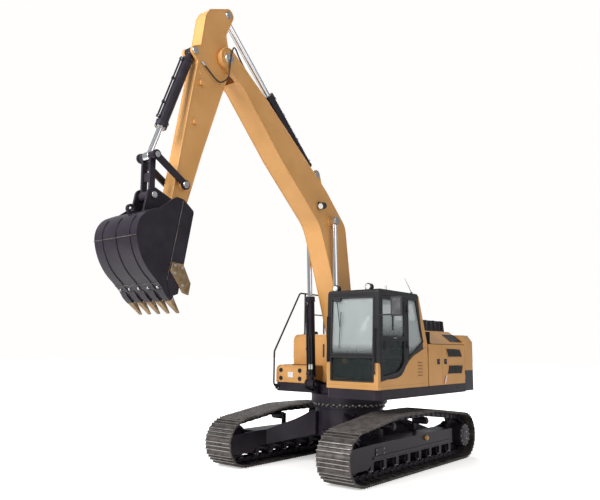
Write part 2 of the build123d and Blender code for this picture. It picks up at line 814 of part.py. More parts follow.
# Side cutters bolted outside the side plates at the lip
with BuildPart() as cutters:
    for side in (-1, 1):
        with BuildSketch(across(boom_y + side * (bucket_half + cutter_thick / 2))):
            Polygon((4634, 3093), (4455, 3079), (4320, 2839), (4350, 2684), (4442, 2706), (4656, 2975),
                    align=None)
        extrude(amount=cutter_thick / 2, both=True)
save(cutters.part, "side_cutters")

# Cab: a hollow skin, split where its panels meet, with openings for the door and the windows
cab_mid = (cab_right + half_width) / 2
cab_half = (half_width - cab_right) / 2
cab_low = deck_high
cab_side = ((cab_front, cab_low), (cab_front + 5, 1900), (cab_front - 35, cab_roof - 40),
            (cab_front - 80, cab_roof), (-120, cab_roof), (-190, cab_roof - 50), (-480, 2130),
            (-500, cab_low))
roof_line = cab_roof - cab_wall
floor_line = cab_low + cab_wall
rear_edge = ((-418, floor_line), (-400, 2130), (-114, roof_line))
pane_right, pane_left = cab_right + 90, half_width - 90
pane_top, door_top = cab_roof - 140, cab_roof - 100
hinge_axis = (hinge_x, half_width + 18)
hinge_zs = (2100, cab_roof - 290)
door_outline = ((1125, sill_low), (1125, door_top), (285, door_top), (285, 1800), (400, 1650), (560, 1570),
                (980, 1520))
windows = ((facing(1050), 300, ((pane_right, 1930), (pane_left, 1930), (pane_left, pane_top + 10),
                                (pane_right, pane_top + 10))),
           (facing(1050), 300, ((pane_right, sill_low), (pane_left, sill_low), (pane_left, 1880),
                                (pane_right, 1880))),
           (facing(-600), 600, ((pane_right + 30, pane_top - 640), (pane_left - 30, pane_top - 640),
                                (pane_left - 30, pane_top - 10), (pane_right + 30, pane_top - 10))),
           (across(cab_right + 100), 200, ((-320, 1750), (1040, 1750), (1040, pane_top), (-85, pane_top),
                                           (-320, 2170))),
           (across(half_width + 100), 200, ((215, 1860), (215, pane_top + 20), (-75, pane_top + 20),
                                            (-310, 2150))))
door_windows = ((across(half_width + 100), 200, ((1065, 2215), (1065, pane_top - 20), (350, pane_top - 20),
                                                 (350, 2215))),
                (across(half_width + 100), 200, ((1065, 1580), (1065, 2165), (350, 2165), (350, 1830),
                                                 (430, 1720), (575, 1640), (970, 1585))))


def cab_skin(inset, wall):
    """Layer of the cab's skin that lies an inset below its outside."""
    with BuildPart() as skin:
        with BuildSketch(across(cab_mid)):
            Polygon(*cab_side, align=None)
            offset(amount=-inset, kind=Kind.INTERSECTION)
        extrude(amount=cab_half - inset, both=True)
        with BuildSketch(across(cab_mid)):
            Polygon(*cab_side, align=None)
            offset(amount=-inset - wall, kind=Kind.INTERSECTION)
        extrude(amount=cab_half - inset - wall, both=True, mode=Mode.SUBTRACT)
    return skin.part


def prism(plane, reach, points, grow=0):
    """Block pulled from an outline on a plane, grown or shrunk all round."""
    with BuildPart() as block:
        with BuildSketch(plane):
            Polygon(*points, align=None)
            if grow:
                offset(amount=grow, kind=Kind.INTERSECTION)
        extrude(amount=reach)
    return block.part


cab_whole = cab_skin(0, cab_wall) - [prism(*window) for window in windows]
cab_whole -= prism(across(half_width + 100), 200, door_outline)
middle_block = ((1100, floor_line), (1100, roof_line), rear_edge[2], rear_edge[1], rear_edge[0])
panels = (("cab_floor", half_width, cab_right, ((-900, 0), (1500, 0), (1500, floor_line),
                                                (-900, floor_line))),
          ("cab_roof", half_width, cab_right, ((-900, roof_line), (1500, roof_line), (1500, 4000),
                                               (-900, 4000))),
          ("cab_front", half_width, cab_right, ((1100, floor_line), (1500, floor_line), (1500, roof_line),
                                                (1100, roof_line))),
          ("cab_rear", half_width, cab_right, ((-900, floor_line), *rear_edge, (-900, roof_line))),
          ("cab_left", half_width, cab_mid, middle_block),
          ("cab_right", cab_mid, cab_right, middle_block))
for name, left, right, region in panels:
    with BuildPart() as cab_panel:
        add(cab_whole & prism(across(left), left - right, region))
        if name == "cab_left":
            for z in hinge_zs:
                with BuildSketch(Plane.XY.offset(z)):
                    with Locations(hinge_axis):
                        Circle(hinge_r)
                    Polygon((hinge_x - 60, half_width), (hinge_x, half_width), (hinge_x, half_width + 10),
                            (hinge_x - 60, half_width + 10), align=None)
                extrude(amount=-hinge_length)
    save(cab_panel.part, name)

pane_layer = cab_skin((cab_wall - glass) / 2, glass)
with BuildPart() as cab_glass:
    for plane, reach, points in windows:
        add(pane_layer & prism(plane, reach, points, -glass_gap))
save(cab_glass.part, "cab_glass")

# Cab door on two hinges at its rear edge, with an upper and a lower pane
with BuildPart() as cab_door:
    add(prism(across(half_width), door_thick, door_outline, -door_gap))
    for plane, reach, points in door_windows:
        add(prism(plane, reach, points), mode=Mode.SUBTRACT)
    for z in hinge_zs:
        with BuildSketch(Plane.XY.offset(z + 1)):
            with Locations(hinge_axis):
                Circle(hinge_r)
            Polygon((hinge_x, half_width), (hinge_x + 75, half_width), (hinge_x + 75, half_width + 10),
                    (hinge_x, half_width + 10), align=None)
        extrude(amount=hinge_length)
save(cab_door.part, "cab_door")

with BuildPart() as door_glass:
    for plane, reach, points in door_windows:
        add(prism(across(half_width - (door_thick - glass) / 2), glass, points, -glass_gap))
save(door_glass.part, "door_glass")


def boxes(rows):
    """Boxes from their low and high corners."""
    with BuildPart() as made:
        for low, high in rows:
            with Locations(tuple((a + b) / 2 for a, b in zip(low, high))):
                Box(*[b - a for a, b in zip(low, high)])
    return made.part


# Inside the cab: seat on its pedestal, consoles with levers, travel pedals
seat_x, seat_y, seat_z = 330, cab_mid, floor_line
save(boxes((((seat_x - 230, seat_y - 200, seat_z), (seat_x + 220, seat_y + 200, seat_z + 320)),
            ((seat_x - 260, seat_y - 250, seat_z + 320), (seat_x + 260, seat_y + 250, seat_z + 450)),
            ((seat_x - 330, seat_y - 240, seat_z + 380), (seat_x - 200, seat_y + 240, seat_z + 1020)),
            ((seat_x - 310, seat_y - 140, seat_z + 1020), (seat_x - 220, seat_y + 140, seat_z + 1220)))),
     "seat")
console_rows = []
for side in (-1, 1):
    y = seat_y + side * 335
    console_rows += [((seat_x - 200, y - 60, seat_z), (seat_x + 330, y + 60, seat_z + 560)),
                     ((seat_x + 250, y - 15, seat_z + 560), (seat_x + 280, y + 15, seat_z + lever_z)),
                     ((seat_x + 235, y - 30, seat_z + lever_z),
                      (seat_x + 295, y + 30, seat_z + lever_z + 100))]
    y = seat_y + side * 90
    console_rows += [((seat_x + 480, y - 60, seat_z), (seat_x + 620, y + 60, seat_z + 60)),
                     ((seat_x + 500, y - 12, seat_z + 60), (seat_x + 524, y + 12, seat_z + 560))]
save(boxes(console_rows), "controls")


def tube(points, radius, bend):
    """Round bar along a path with bent corners."""
    with BuildPart() as bar:
        with BuildLine() as path:
            FilletPolyline(*points, radius=bend)
        with BuildSketch(Plane(origin=path.line @ 0, z_dir=path.line % 0)):
            Circle(radius)
        sweep()
    return bar.part


# Mirror on an arm from the left front pillar, and work lamps on the roof
with BuildPart() as mirror:
    mirror_y = half_width + 330
    add(tube(((mirror_x, half_width, mirror_z), (mirror_x, mirror_y - 60, mirror_z),
              (mirror_x, mirror_y, mirror_z + 60)), 12, 30))
    with Locations((mirror_x - 10, mirror_y, mirror_z + 130)):
        Box(36, 200, 310)
save(mirror.part, "mirror")
lamp_ys = (cab_right + 110, half_width - 240)
save(boxes([((1040, y - 70, cab_roof), (1110, y + 70, cab_roof + 75)) for y in lamp_ys]), "cab_lamps")

# Tanks and tool box along the right side
with BuildPart() as fuel_tank:
    add(boxes((((tank_rear, -half_width + 20, deck_high), (tank_front, tank_in, tank_top)),)))
    fillet(fuel_tank.edges().filter_by(Axis.Y).group_by(Axis.Z)[-1].sort_by(Axis.X)[-1:], 130)
    fillet(fuel_tank.edges().filter_by(Axis.Z), 40)
save(fuel_tank.part, "fuel_tank")
with BuildPart() as oil_tank:
    add(boxes((((oil_tank_rear, -half_width + 20, deck_high), (tank_rear - 6, oil_tank_in, oil_tank_top)),)))
    fillet(oil_tank.edges().filter_by(Axis.Z), 40)
save(oil_tank.part, "oil_tank")
with BuildPart() as tool_box:
    add(boxes((((tank_front + 6, -half_width + 20, deck_high), (box_front, -600, box_top)),)))
    fillet(tool_box.edges().filter_by(Axis.Y).group_by(Axis.Z)[-1].sort_by(Axis.X)[-1:], 110)
save(tool_box.part, "tool_box")

# Handrail along the right side, from the deck's front up over the tanks
rail_y = -half_width + 70
rail_points = ((deck_right_front, 1290), (640, 1290), (640, 1950), (-130, rail_top), (rail_rear, rail_top),
               (rail_rear, oil_tank_top))
with BuildPart() as handrail:
    add(tube([(x, rail_y, z) for x, z in rail_points], rail_r, 90))
    with BuildSketch(Plane(origin=(rail_post, rail_y, tank_top))):
        Circle(rail_r)
    extrude(amount=rail_top - tank_top)
    with BuildSketch(Plane(origin=(rail_rear, rail_y, (rail_top + tank_top) / 2), z_dir=(1, 0, 0))):
        Circle(0.8 * rail_r)
    extrude(amount=rail_post - rail_rear)
save(handrail.part, "handrail")

# Engine bay: bulkhead behind the cab, posts between the doors and a rail above them
bay_in = half_width - panel - bay_gap
hood_low = panel_top + panel_gap
save(boxes((((bay_front, hood_right, deck_high), (bay_front + 30, bay_in, hood_top - panel)),
            ((left_seam - 40, bay_in - 50, deck_high), (left_seam + 40, bay_in, panel_top)),
            ((deck_rear, bay_in - 50, deck_high), (deck_rear + 60, bay_in, panel_top)),
            ((deck_rear, bay_in - 50, panel_top - 60), (bay_front, bay_in, panel_top)),
            ((deck_rear, hood_right, deck_high), (bay_front, hood_right + 25, panel_top)),
            ((oil_tank_rear - 60, -bay_in, deck_high), (oil_tank_rear - 8, -bay_in + 50, hood_low)),
            ((deck_rear, -bay_in, deck_high), (deck_rear + 60, -bay_in + 50, hood_low)))), "bay_frame")

# Doors of the engine and pump bays, hinged at their edges
door_low, door_high = deck_high + panel_gap, panel_top - panel_gap
door_face = half_width - panel
upper_grille = ((-1210, 2040), (-1820, 2030), (-1930, 1880), (-1300, 1880))
lower_grille = ((-1320, 1730), (-1950, 1720), (-1890, 1560), (-1260, 1570))


def bay_door(rear, front, side, hinge_end):
    """A flat door between two ends of one side, with a pair of knuckles at its hinged end."""
    with BuildPart() as door:
        add(boxes((((rear, min(side * door_face, side * half_width), door_low),
                    (front, max(side * door_face, side * half_width), door_high)),)))
        for z in (door_low + 80, door_high - 80 - knuckle_length):
            with BuildSketch(Plane.XY.offset(z)):
                with Locations((hinge_end, side * half_width)):
                    Circle(knuckle_r)
            extrude(amount=knuckle_length)
    return door.part


save(bay_door(left_seam + 3, left_front, 1, left_front), "left_front_door")
with BuildPart() as left_rear_door:
    add(bay_door(deck_rear + 10, left_seam - 3, 1, deck_rear + 10))
    for grille in (upper_grille, lower_grille):
        low = min(z for _, z in grille)
        high = max(z for _, z in grille)
        for i in range(grille_slots):
            z = low + (high - low) * (i + 0.5) / grille_slots
            share = (z - low) / (high - low)
            edges = ((grille[3], grille[0]), (grille[2], grille[1]))
            ends = [foot[0] + (head[0] - foot[0]) * share for foot, head in edges]
            with Locations(((ends[0] + ends[1]) / 2, half_width - panel / 2, z)):
                Box(abs(ends[1] - ends[0]), panel, slot_high, mode=Mode.SUBTRACT)
save(left_rear_door.part, "left_rear_door")
save(bay_door(deck_rear + 10, oil_tank_rear - 6, -1, oil_tank_rear - 6), "pump_door")

# Hood over the engine, hinged at its front edge, with a raised grille on top
hood_rear = deck_rear + 5
hood_profile = ((half_width - 5, hood_low), (hood_edge, hood_top), (hood_right, hood_top),
                (hood_right, hood_low))
with BuildPart() as hood:
    with BuildSketch(facing(hood_rear)):
        Polygon(*hood_profile, align=None)
    extrude(amount=bay_front - hood_rear)
    with BuildSketch(facing(hood_rear)):
        Polygon((half_width - 5 - 1.6 * panel, hood_low), (hood_edge - 0.4 * panel, hood_top - panel),
                (hood_right + panel, hood_top - panel), (hood_right + panel, hood_low), align=None)
    extrude(amount=bay_front - hood_rear, mode=Mode.SUBTRACT)
    for y in (hood_right + 200, hood_edge / 2 + hood_right / 2, hood_edge - 200):
        with BuildSketch(across(y, bay_front, hood_top)):
            Circle(2 * knuckle_r)
        extrude(amount=knuckle_length, both=True)
save(hood.part, "hood")
grille_side = ((-1200, hood_top), (-1225, 2585), (-1990, 2585), (-2045, hood_top))
with BuildPart() as hood_grille:
    with BuildSketch(across(grille_left)) as outer:
        Polygon(*grille_side, align=None)
    extrude(amount=grille_left - grille_right)
    for i in range(5):
        with Locations(((-1200 - 2010) / 2, grille_left, hood_top + 40 + 38 * i)):
            Box(700, 2 * slot_depth, slot_high, mode=Mode.SUBTRACT)
save(hood_grille.part, "hood_grille")

# Fixed cover over the pump bay
cover_in, cover_out = hood_right - panel_gap, -half_width + panel_gap
pump_profile = ((cover_out, hood_low), (cover_out, cover_top - 70), (cover_out + 75, cover_top),
                (cover_in, cover_top), (cover_in, hood_low))
cover_length = oil_tank_rear - 6 - hood_rear
with BuildPart() as pump_cover:
    with BuildSketch(facing(hood_rear)) as cover:
        Polygon(*pump_profile, align=None)
    extrude(amount=cover_length)
    with BuildSketch(facing(hood_rear)):
        Polygon((cover_out + panel, hood_low), (cover_out + panel, cover_top - 85),
                (cover_out + 85, cover_top - panel), (cover_in - panel, cover_top - panel),
                (cover_in - panel, hood_low), align=None)
    extrude(amount=cover_length, mode=Mode.SUBTRACT)
save(pump_cover.part, "pump_cover")

# Exhaust stack on the pump cover: an open pipe on a flange
with BuildPart() as exhaust_stack:
    with BuildSketch(Plane.XY.offset(cover_top)):
        with Locations(stack_place):
            Circle(1.6 * stack_r)
    extrude(amount=panel / 2)
    with BuildSketch(Plane.XY.offset(cover_top)):
        with Locations(stack_place):
            Circle(stack_r)
    extrude(amount=stack_length)
    with BuildSketch(Plane.XY.offset(cover_top + stack_length)):
        with Locations(stack_place):
            Circle(stack_r - stack_wall)
    extrude(amount=-stack_length / 2, mode=Mode.SUBTRACT)
save(exhaust_stack.part, "exhaust_stack")
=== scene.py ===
import json
from math import acos, atan2, cos, hypot, pi, radians, sin
import bmesh
import bpy
from mathutils import Matrix, Vector


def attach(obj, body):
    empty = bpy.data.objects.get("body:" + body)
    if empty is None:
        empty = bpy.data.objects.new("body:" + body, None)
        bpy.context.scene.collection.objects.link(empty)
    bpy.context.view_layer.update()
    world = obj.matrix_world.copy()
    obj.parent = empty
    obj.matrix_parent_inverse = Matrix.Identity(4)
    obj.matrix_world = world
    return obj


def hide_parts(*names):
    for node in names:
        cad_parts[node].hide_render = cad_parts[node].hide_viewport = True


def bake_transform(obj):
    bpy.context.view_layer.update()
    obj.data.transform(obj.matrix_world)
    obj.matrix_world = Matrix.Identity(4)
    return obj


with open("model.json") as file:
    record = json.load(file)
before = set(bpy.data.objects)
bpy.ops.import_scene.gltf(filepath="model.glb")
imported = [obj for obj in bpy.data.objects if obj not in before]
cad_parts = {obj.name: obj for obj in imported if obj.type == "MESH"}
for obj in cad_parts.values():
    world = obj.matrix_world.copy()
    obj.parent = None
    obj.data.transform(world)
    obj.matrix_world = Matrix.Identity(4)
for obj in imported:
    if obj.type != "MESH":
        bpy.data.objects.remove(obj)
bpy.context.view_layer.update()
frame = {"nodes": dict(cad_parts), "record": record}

# Camera at the photograph's angle, fitted to the tracks, the cab and the boom.
# It stands low at the machine's left front and looks slightly upwards.
eye = Vector((9.755, 6.656, 2.015))
yaw, pitch, roll = -2.46287, 0.15714, 0.011686
ahead = Vector((cos(pitch) * cos(yaw), cos(pitch) * sin(yaw), sin(pitch)))
side = Vector((sin(yaw), -cos(yaw), 0))
above = side.cross(ahead)
right = cos(roll) * side + sin(roll) * above
top = cos(roll) * above - sin(roll) * side
scene = bpy.context.scene
camera = bpy.data.objects.new("camera", bpy.data.cameras.new("camera"))
camera.data.lens = 37.2
camera.data.clip_end = 200
turn = Matrix((right, top, -ahead)).transposed().to_4x4()
camera.matrix_world = Matrix.Translation(eye) @ turn
scene.collection.objects.link(camera)
scene.camera = camera
scene.view_settings.view_transform = "Standard"

# Studio: a white floor that runs to the horizon under an even sky that shows white.
# The floor's glow, which only the camera sees, grows outwards until it is as bright as the sky.
# The key stands in front of the machine, so that faces that look forward are the bright ones.
floor_half = 90


def dial(node, settings):
    """Set inputs of a shader node by their names."""
    for name, value in settings.items():
        node.inputs[name].default_value = value


def new_paint(name):
    """New material, with its nodes, its links and its shader."""
    paint = bpy.data.materials.new(name)
    paint.use_nodes = True
    nodes = paint.node_tree.nodes
    return paint, nodes, paint.node_tree.links, nodes["Principled BSDF"]


floor_corners = [(x * floor_half, y * floor_half, 0) for x, y in ((-1, -1), (1, -1), (1, 1), (-1, 1))]
floor_mesh = bpy.data.meshes.new("floor")
floor_mesh.from_pydata(floor_corners, [], [(0, 1, 2, 3)])
floor = bpy.data.objects.new("floor", floor_mesh)
scene.collection.objects.link(floor)
paper, nodes, links, shader = new_paint("pale floor")
dial(shader, {"Base Color": (0.9, 0.89, 0.88, 1), "Roughness": 0.9, "Emission Color": (1.0, 0.985, 0.965, 1)})
where = nodes.new("ShaderNodeTexCoord")
reach = nodes.new("ShaderNodeVectorMath")
reach.operation = "LENGTH"
glow = nodes.new("ShaderNodeMapRange")
glow.interpolation_type = "SMOOTHSTEP"
dial(glow, {"From Min": 2.5, "From Max": 6.5, "To Min": 0.45, "To Max": 1.0})
seen = nodes.new("ShaderNodeLightPath")
shown = nodes.new("ShaderNodeMath")
shown.operation = "MULTIPLY"
links.new(where.outputs["Object"], reach.inputs[0])
links.new(reach.outputs["Value"], glow.inputs["Value"])
links.new(glow.outputs["Result"], shown.inputs[0])
links.new(seen.outputs["Is Camera Ray"], shown.inputs[1])
links.new(shown.outputs[0], shader.inputs["Emission Strength"])
floor_mesh.materials.append(paper)
world = bpy.data.worlds.new("studio sky")
world.use_nodes = True
sky, links = world.node_tree.nodes, world.node_tree.links
dial(sky["Background"], {"Color": (0.95, 0.97, 1.0, 1), "Strength": 0.42})
backdrop = sky.new("ShaderNodeBackground")
dial(backdrop, {"Color": (1.0, 0.992, 0.982, 1)})
seen = sky.new("ShaderNodeLightPath")
both = sky.new("ShaderNodeMixShader")
links.new(seen.outputs["Is Camera Ray"], both.inputs[0])
links.new(sky["Background"].outputs[0], both.inputs[1])
links.new(backdrop.outputs[0], both.inputs[2])
links.new(both.outputs[0], sky["World Output"].inputs["Surface"])
scene.world = world
# Columns: name, place, what it points at, size, power.
for name, place, aim, size, power in (("key", (15, -1, 10), (1, 0, 3), 8, 2900),
                                      ("fill", (3, 15, 8), (0, 0, 2), 10, 430),
                                      ("back", (-13, -7, 11), (0, 0, 3), 9, 1300)):
    lamp = bpy.data.lights.new(name, "AREA")
    lamp.energy, lamp.size = power, size
    light = bpy.data.objects.new(name, lamp)
    aimed = (Vector(aim) - Vector(place)).to_track_quat("-Z", "Y").to_matrix().to_4x4()
    light.matrix_world = Matrix.Translation(place) @ aimed
    scene.collection.objects.link(light)

# Paints and metals of the whole machine, each made once and read by name afterwards.
# Noise on object coordinates varies the colour and the gloss, and a fine one gives the sprayed skin.
# Columns: name, two colours, metallic, roughness, size of the clouds, depth of the grain.
finishes = (("ochre paint", (0.56, 0.275, 0.076), (0.655, 0.335, 0.108), 0.0, 0.34, 1.6, 0.03),
            ("dark paint", (0.015, 0.0115, 0.0175), (0.028, 0.022, 0.031), 0.0, 0.30, 3.0, 0.04),
            ("track steel", (0.060, 0.052, 0.048), (0.160, 0.142, 0.131), 0.7, 0.5, 9.0, 0.25),
            ("bare steel", (0.40, 0.39, 0.38), (0.58, 0.57, 0.56), 1.0, 0.32, 14.0, 0.1),
            ("chrome", (0.27, 0.27, 0.30), (0.36, 0.36, 0.39), 1.0, 0.20, 6.0, 0.01),
            ("cast metal", (0.05, 0.05, 0.055), (0.10, 0.10, 0.105), 0.4, 0.6, 12.0, 0.2),
            ("tooth steel", (0.17, 0.105, 0.045), (0.34, 0.235, 0.13), 0.35, 0.48, 11.0, 0.2),
            ("black plastic", (0.008, 0.008, 0.009), (0.018, 0.018, 0.020), 0.0, 0.5, 30.0, 0.1),
            ("lamp lens", (0.62, 0.62, 0.58), (0.82, 0.82, 0.80), 0.0, 0.15, 40.0, 0.05))
for name, low, high, metal, rough, scale, bump in finishes:
    _, nodes, links, shader = new_paint(name)
    dial(shader, {"Metallic": metal})
    where = nodes.new("ShaderNodeTexCoord")
    clouds = nodes.new("ShaderNodeTexNoise")
    dial(clouds, {"Scale": scale, "Detail": 6})
    links.new(where.outputs["Object"], clouds.inputs["Vector"])
    tint = nodes.new("ShaderNodeValToRGB")
    tint.color_ramp.elements[0].position, tint.color_ramp.elements[0].color = 0.32, (*low, 1)
    tint.color_ramp.elements[1].position, tint.color_ramp.elements[1].color = 0.68, (*high, 1)
    links.new(clouds.outputs["Fac"], tint.inputs["Fac"])
    links.new(tint.outputs["Color"], shader.inputs["Base Color"])
    gloss = nodes.new("ShaderNodeMapRange")
    dial(gloss, {"To Min": rough - 0.08, "To Max": rough + 0.12})
    links.new(clouds.outputs["Fac"], gloss.inputs["Value"])
    links.new(gloss.outputs["Result"], shader.inputs["Roughness"])
    grain = nodes.new("ShaderNodeTexNoise")
    dial(grain, {"Scale": 40 * scale})
    links.new(where.outputs["Object"], grain.inputs["Vector"])
    relief = nodes.new("ShaderNodeBump")
    dial(relief, {"Strength": bump, "Distance": 0.004})
    links.new(grain.outputs["Fac"], relief.inputs["Height"])
    links.new(relief.outputs["Normal"], shader.inputs["Normal"])

# The dark paint is a satin coat that mirrors less than the others.
dark_shader = bpy.data.materials["dark paint"].node_tree.nodes["Principled BSDF"]
dial(dark_shader, {"Specular IOR Level": 0.25})

# Window glass: safety glass with painted light in its colour: dark below, as painted shade of the black-lined
# cab behind it, and pale above, as a painted reflection of the sky. The panes of the cab and of the door
# change their tint at different heights.
for name, painted_shade_until, painted_reflection_from in (("window glass", 1.90, 2.10), ("door glass", 2.16, 2.45)):
    _, nodes, links, shader = new_paint(name)
    dial(shader, {"Roughness": 0.03, "Alpha": 0.42})
    where = nodes.new("ShaderNodeTexCoord")
    height = nodes.new("ShaderNodeSeparateXYZ")
    share = nodes.new("ShaderNodeMapRange")
    dial(share, {"From Min": painted_shade_until, "From Max": painted_reflection_from})
    # Painted light: the dark colour is painted shade of the cab seen through the pane, the pale one a painted
    # reflection of the sky.
    tint = nodes.new("ShaderNodeValToRGB")
    tint.color_ramp.elements[0].color = (0.03, 0.042, 0.04, 1)
    tint.color_ramp.elements[1].color = (0.60, 0.66, 0.65, 1)
    links.new(where.outputs["Object"], height.inputs["Vector"])
    links.new(height.outputs["Z"], share.inputs["Value"])
    links.new(share.outputs["Result"], tint.inputs["Fac"])
    links.new(tint.outputs["Color"], shader.inputs["Base Color"])

# Solids: plate and cast pieces as they leave the works, with their sharp edges broken.
# Each is a merged copy of its node with a fine bevel, in the finish of its record slot.
renamed_slots = {"engine_metal": "cast metal", "glass": "window glass"}
bodies = frame["record"]["behaviour"]["bodies"]
body_of_node = {node: body for body, nodes in bodies.items() for node in nodes}
usual_edge = 0.005
broken_edge = {"mirror": 0.014, "cab_glass": 0.001, "door_glass": 0.001, "bucket_teeth": 0.008,
               "counterweight": 0.02, "tool_box": 0.012, "fuel_tank": 0.012, "oil_tank": 0.012,
               "main_frame": 0.008, "hood": 0.012, "engine": 0.02, "seat": 0.05}
left_to_own_section = {"track_left", "track_right", "cab_lamps"}
crease, flat, same_place = radians(32), radians(0.5), 1e-5


def merged_copy(node):
    """Copy of a node's mesh, with its triangles joined to the faces that they belong to."""
    shape = bmesh.new()
    shape.from_mesh(frame["nodes"][node].data)
    bmesh.ops.remove_doubles(shape, verts=shape.verts, dist=same_place)
    bmesh.ops.dissolve_limit(shape, angle_limit=flat, verts=shape.verts, edges=shape.edges,
                             delimit={"NORMAL"})
    return shape


def shade(shape):
    """Smooth faces that stay sharp along each crease."""
    for edge in shape.edges:
        edge.smooth = len(edge.link_faces) == 2 and edge.calc_face_angle(0) < crease
    for face in shape.faces:
        face.smooth = True


def break_edges(piece, width):
    """Fine bevel on every crease of a piece."""
    bevel = piece.modifiers.new("broken edge", "BEVEL")
    bevel.width, bevel.segments = width, 2
    bevel.limit_method, bevel.angle_limit = "ANGLE", crease


for row in frame["record"]["subparts"]:
    node = row["node"]
    slot = row["material_slot"]
    finish = bpy.data.materials[renamed_slots.get(slot, slot.replace("_", " "))]
    for holder in frame["nodes"][node].material_slots:
        holder.material = finish
    if node in left_to_own_section:
        continue
    shape = merged_copy(node)
    shade(shape)
    for face in shape.faces:
        face.material_index = 0
    mesh = bpy.data.meshes.new(f"{node} skin")
    shape.to_mesh(mesh)
    shape.free()
    mesh.materials.append(finish)
    piece = bpy.data.objects.new(f"{node}_skin", mesh)
    scene.collection.objects.link(piece)
    break_edges(piece, broken_edge.get(node, usual_edge))
    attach(piece, body_of_node[node])
    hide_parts(node)

# Tracks: rolled steel shoes with three grouser bars, each bolted to a pair of forged links on a hardened pin.
# One shoe is modelled flat and set on every pitch of the loop, which the solid tracks follow too.
idler, idler_r, sprocket, sprocket_r = (1.8, 0.41), 0.323, (-1.78, 0.42), 0.333
ground, carriers, shoe_pitch = 0.087, ((0.62, 0.893), (-0.52, 0.893)), 0.19


def give_finish(verts, finish):
    """Set the finish of every face at some vertices."""
    for skin in {skin for vert in verts for skin in vert.link_faces}:
        skin.material_index = finish


def slab(mesh, outline, pull, finish=0):
    """Plate from a flat outline, pulled along a vector."""
    face = mesh.faces.new([mesh.verts.new(point) for point in outline])
    grown = bmesh.ops.extrude_face_region(mesh, geom=[face])["geom"]
    far = [part for part in grown if isinstance(part, bmesh.types.BMVert)]
    bmesh.ops.translate(mesh, vec=pull, verts=far)
    give_finish(far, finish)
    face.material_index = finish


def rod(mesh, start, end, radius, finish=0, sides=20, tip=None):
    """Round bar between two points, tapered where a tip radius is given."""
    start, end = Vector(start), Vector(end)
    place = Matrix.Translation((start + end) / 2) @ (end - start).to_track_quat("Z", "Y").to_matrix().to_4x4()
    made = bmesh.ops.create_cone(mesh, cap_ends=True, segments=sides, radius1=radius,
                                 radius2=radius if tip is None else tip, depth=(end - start).length,
                                 matrix=place)
    give_finish(made["verts"], finish)


def block(mesh, low, high, finish=0):
    """Box between two corners."""
    low, high = Vector(low), Vector(high)
    made = bmesh.ops.create_cube(mesh, size=1, matrix=Matrix.Translation((low + high) / 2)
                                 @ Matrix.Diagonal((*(high - low), 1)))
    give_finish(made["verts"], finish)


def fix(mesh, name, body, finishes, edge=0.0, stands_for=()):
    """Finish a piece: creases, finishes, a fine bevel, and the body it rides on, if one."""
    bmesh.ops.recalc_face_normals(mesh, faces=mesh.faces)
    shade(mesh)
    made = bpy.data.objects.new(name, bpy.data.meshes.new(name))
    mesh.to_mesh(made.data)
    mesh.free()
    for finish in finishes:
        made.data.materials.append(bpy.data.materials[finish])
    scene.collection.objects.link(made)
    if edge:
        break_edges(made, edge)
    if body:
        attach(made, body)
    if stands_for:
        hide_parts(*stands_for)
    return made


def tangent_angle(centre, radius, point, way):
    """Angle on a wheel at which the straight run to a point leaves it."""
    run = (point[0] - centre[0], point[1] - centre[1])
    return atan2(run[1], run[0]) + way * acos(radius / hypot(*run))


leave = tangent_angle(idler, idler_r, carriers[0], -1)
meet = tangent_angle(sprocket, sprocket_r, carriers[1], 1)
arc_steps = 60
loop = [(sprocket[0], ground), (idler[0], ground)]
loop += [(idler[0] + idler_r * cos(a), idler[1] + idler_r * sin(a))
         for a in [-pi / 2 + (leave + pi / 2) * i / arc_steps for i in range(1, arc_steps + 1)]]
loop += carriers
loop += [(sprocket[0] + sprocket_r * cos(a), sprocket[1] + sprocket_r * sin(a))
         for a in [meet + (1.5 * pi - meet) * i / arc_steps for i in range(arc_steps + 1)]]
runs = [hypot(b[0] - a[0], b[1] - a[1]) for a, b in zip(loop, loop[1:])]
count = round(sum(runs) / shoe_pitch)
pins, walked, leg = [], 0.0, 0
for i in range(count):
    goal = sum(runs) * i / count
    while walked + runs[leg] < goal:
        walked += runs[leg]
        leg += 1
    share = (goal - walked) / runs[leg]
    pins.append(Vector(loop[leg]).lerp(Vector(loop[leg + 1]), share))

shoe_half, plate_top, bar_top, bar_foot, bar_crest = 0.3, 0.061, 0.085, 0.012, 0.005
bolt_r, bolt_high, link_thick, pin_r, pin_half, pin_z = 0.0105, 0.011, 0.02, 0.019, 0.102, -0.004
shoe_side = [(0.004, 0.046), (0.012, plate_top)]
for u in (0.16 * shoe_pitch, 0.5 * shoe_pitch, 0.84 * shoe_pitch):
    shoe_side += [(u - bar_foot, plate_top), (u - bar_crest, bar_top), (u + bar_crest, bar_top),
                  (u + bar_foot, plate_top)]
shoe_side += [(0.186, plate_top), (0.196, 0.050), (0.225, 0.036), (0.220, 0.030), (0.192, 0.043),
              (0.180, 0.046)]
link_side = [(-0.038, -0.02), (-0.03, 0.03), (0.0, 0.045), (0.06, 0.049), (0.15, 0.049), (0.2, 0.036),
             (0.222, 0.008), (0.215, -0.03), (0.19, -0.048), (0.12, -0.042), (0.095, -0.05), (0.0, -0.05),
             (-0.03, -0.043)]
shoe = bmesh.new()
slab(shoe, [(u, -shoe_half, w) for u, w in shoe_side], (0, 2 * shoe_half, 0))
for skin in shoe.faces:
    if skin.normal.length and min(vert.co.z for vert in skin.verts) > bar_top - 0.001:
        skin.material_index = 1
for v in (-0.092, -0.048, 0.048, 0.092):
    for u in (0.064, 0.128):
        rod(shoe, (u, v, plate_top), (u, v, plate_top + bolt_high), bolt_r, 3, 6)
for v in (-0.0925, -0.0705, 0.0505, 0.0725):
    slab(shoe, [(u, v, w) for u, w in link_side], (0, link_thick, 0), 2)
rod(shoe, (0, -pin_half, pin_z), (0, pin_half, pin_z), pin_r, 3, 10)
one_shoe = bpy.data.meshes.new("one shoe")
shoe.to_mesh(one_shoe)
shoe.free()
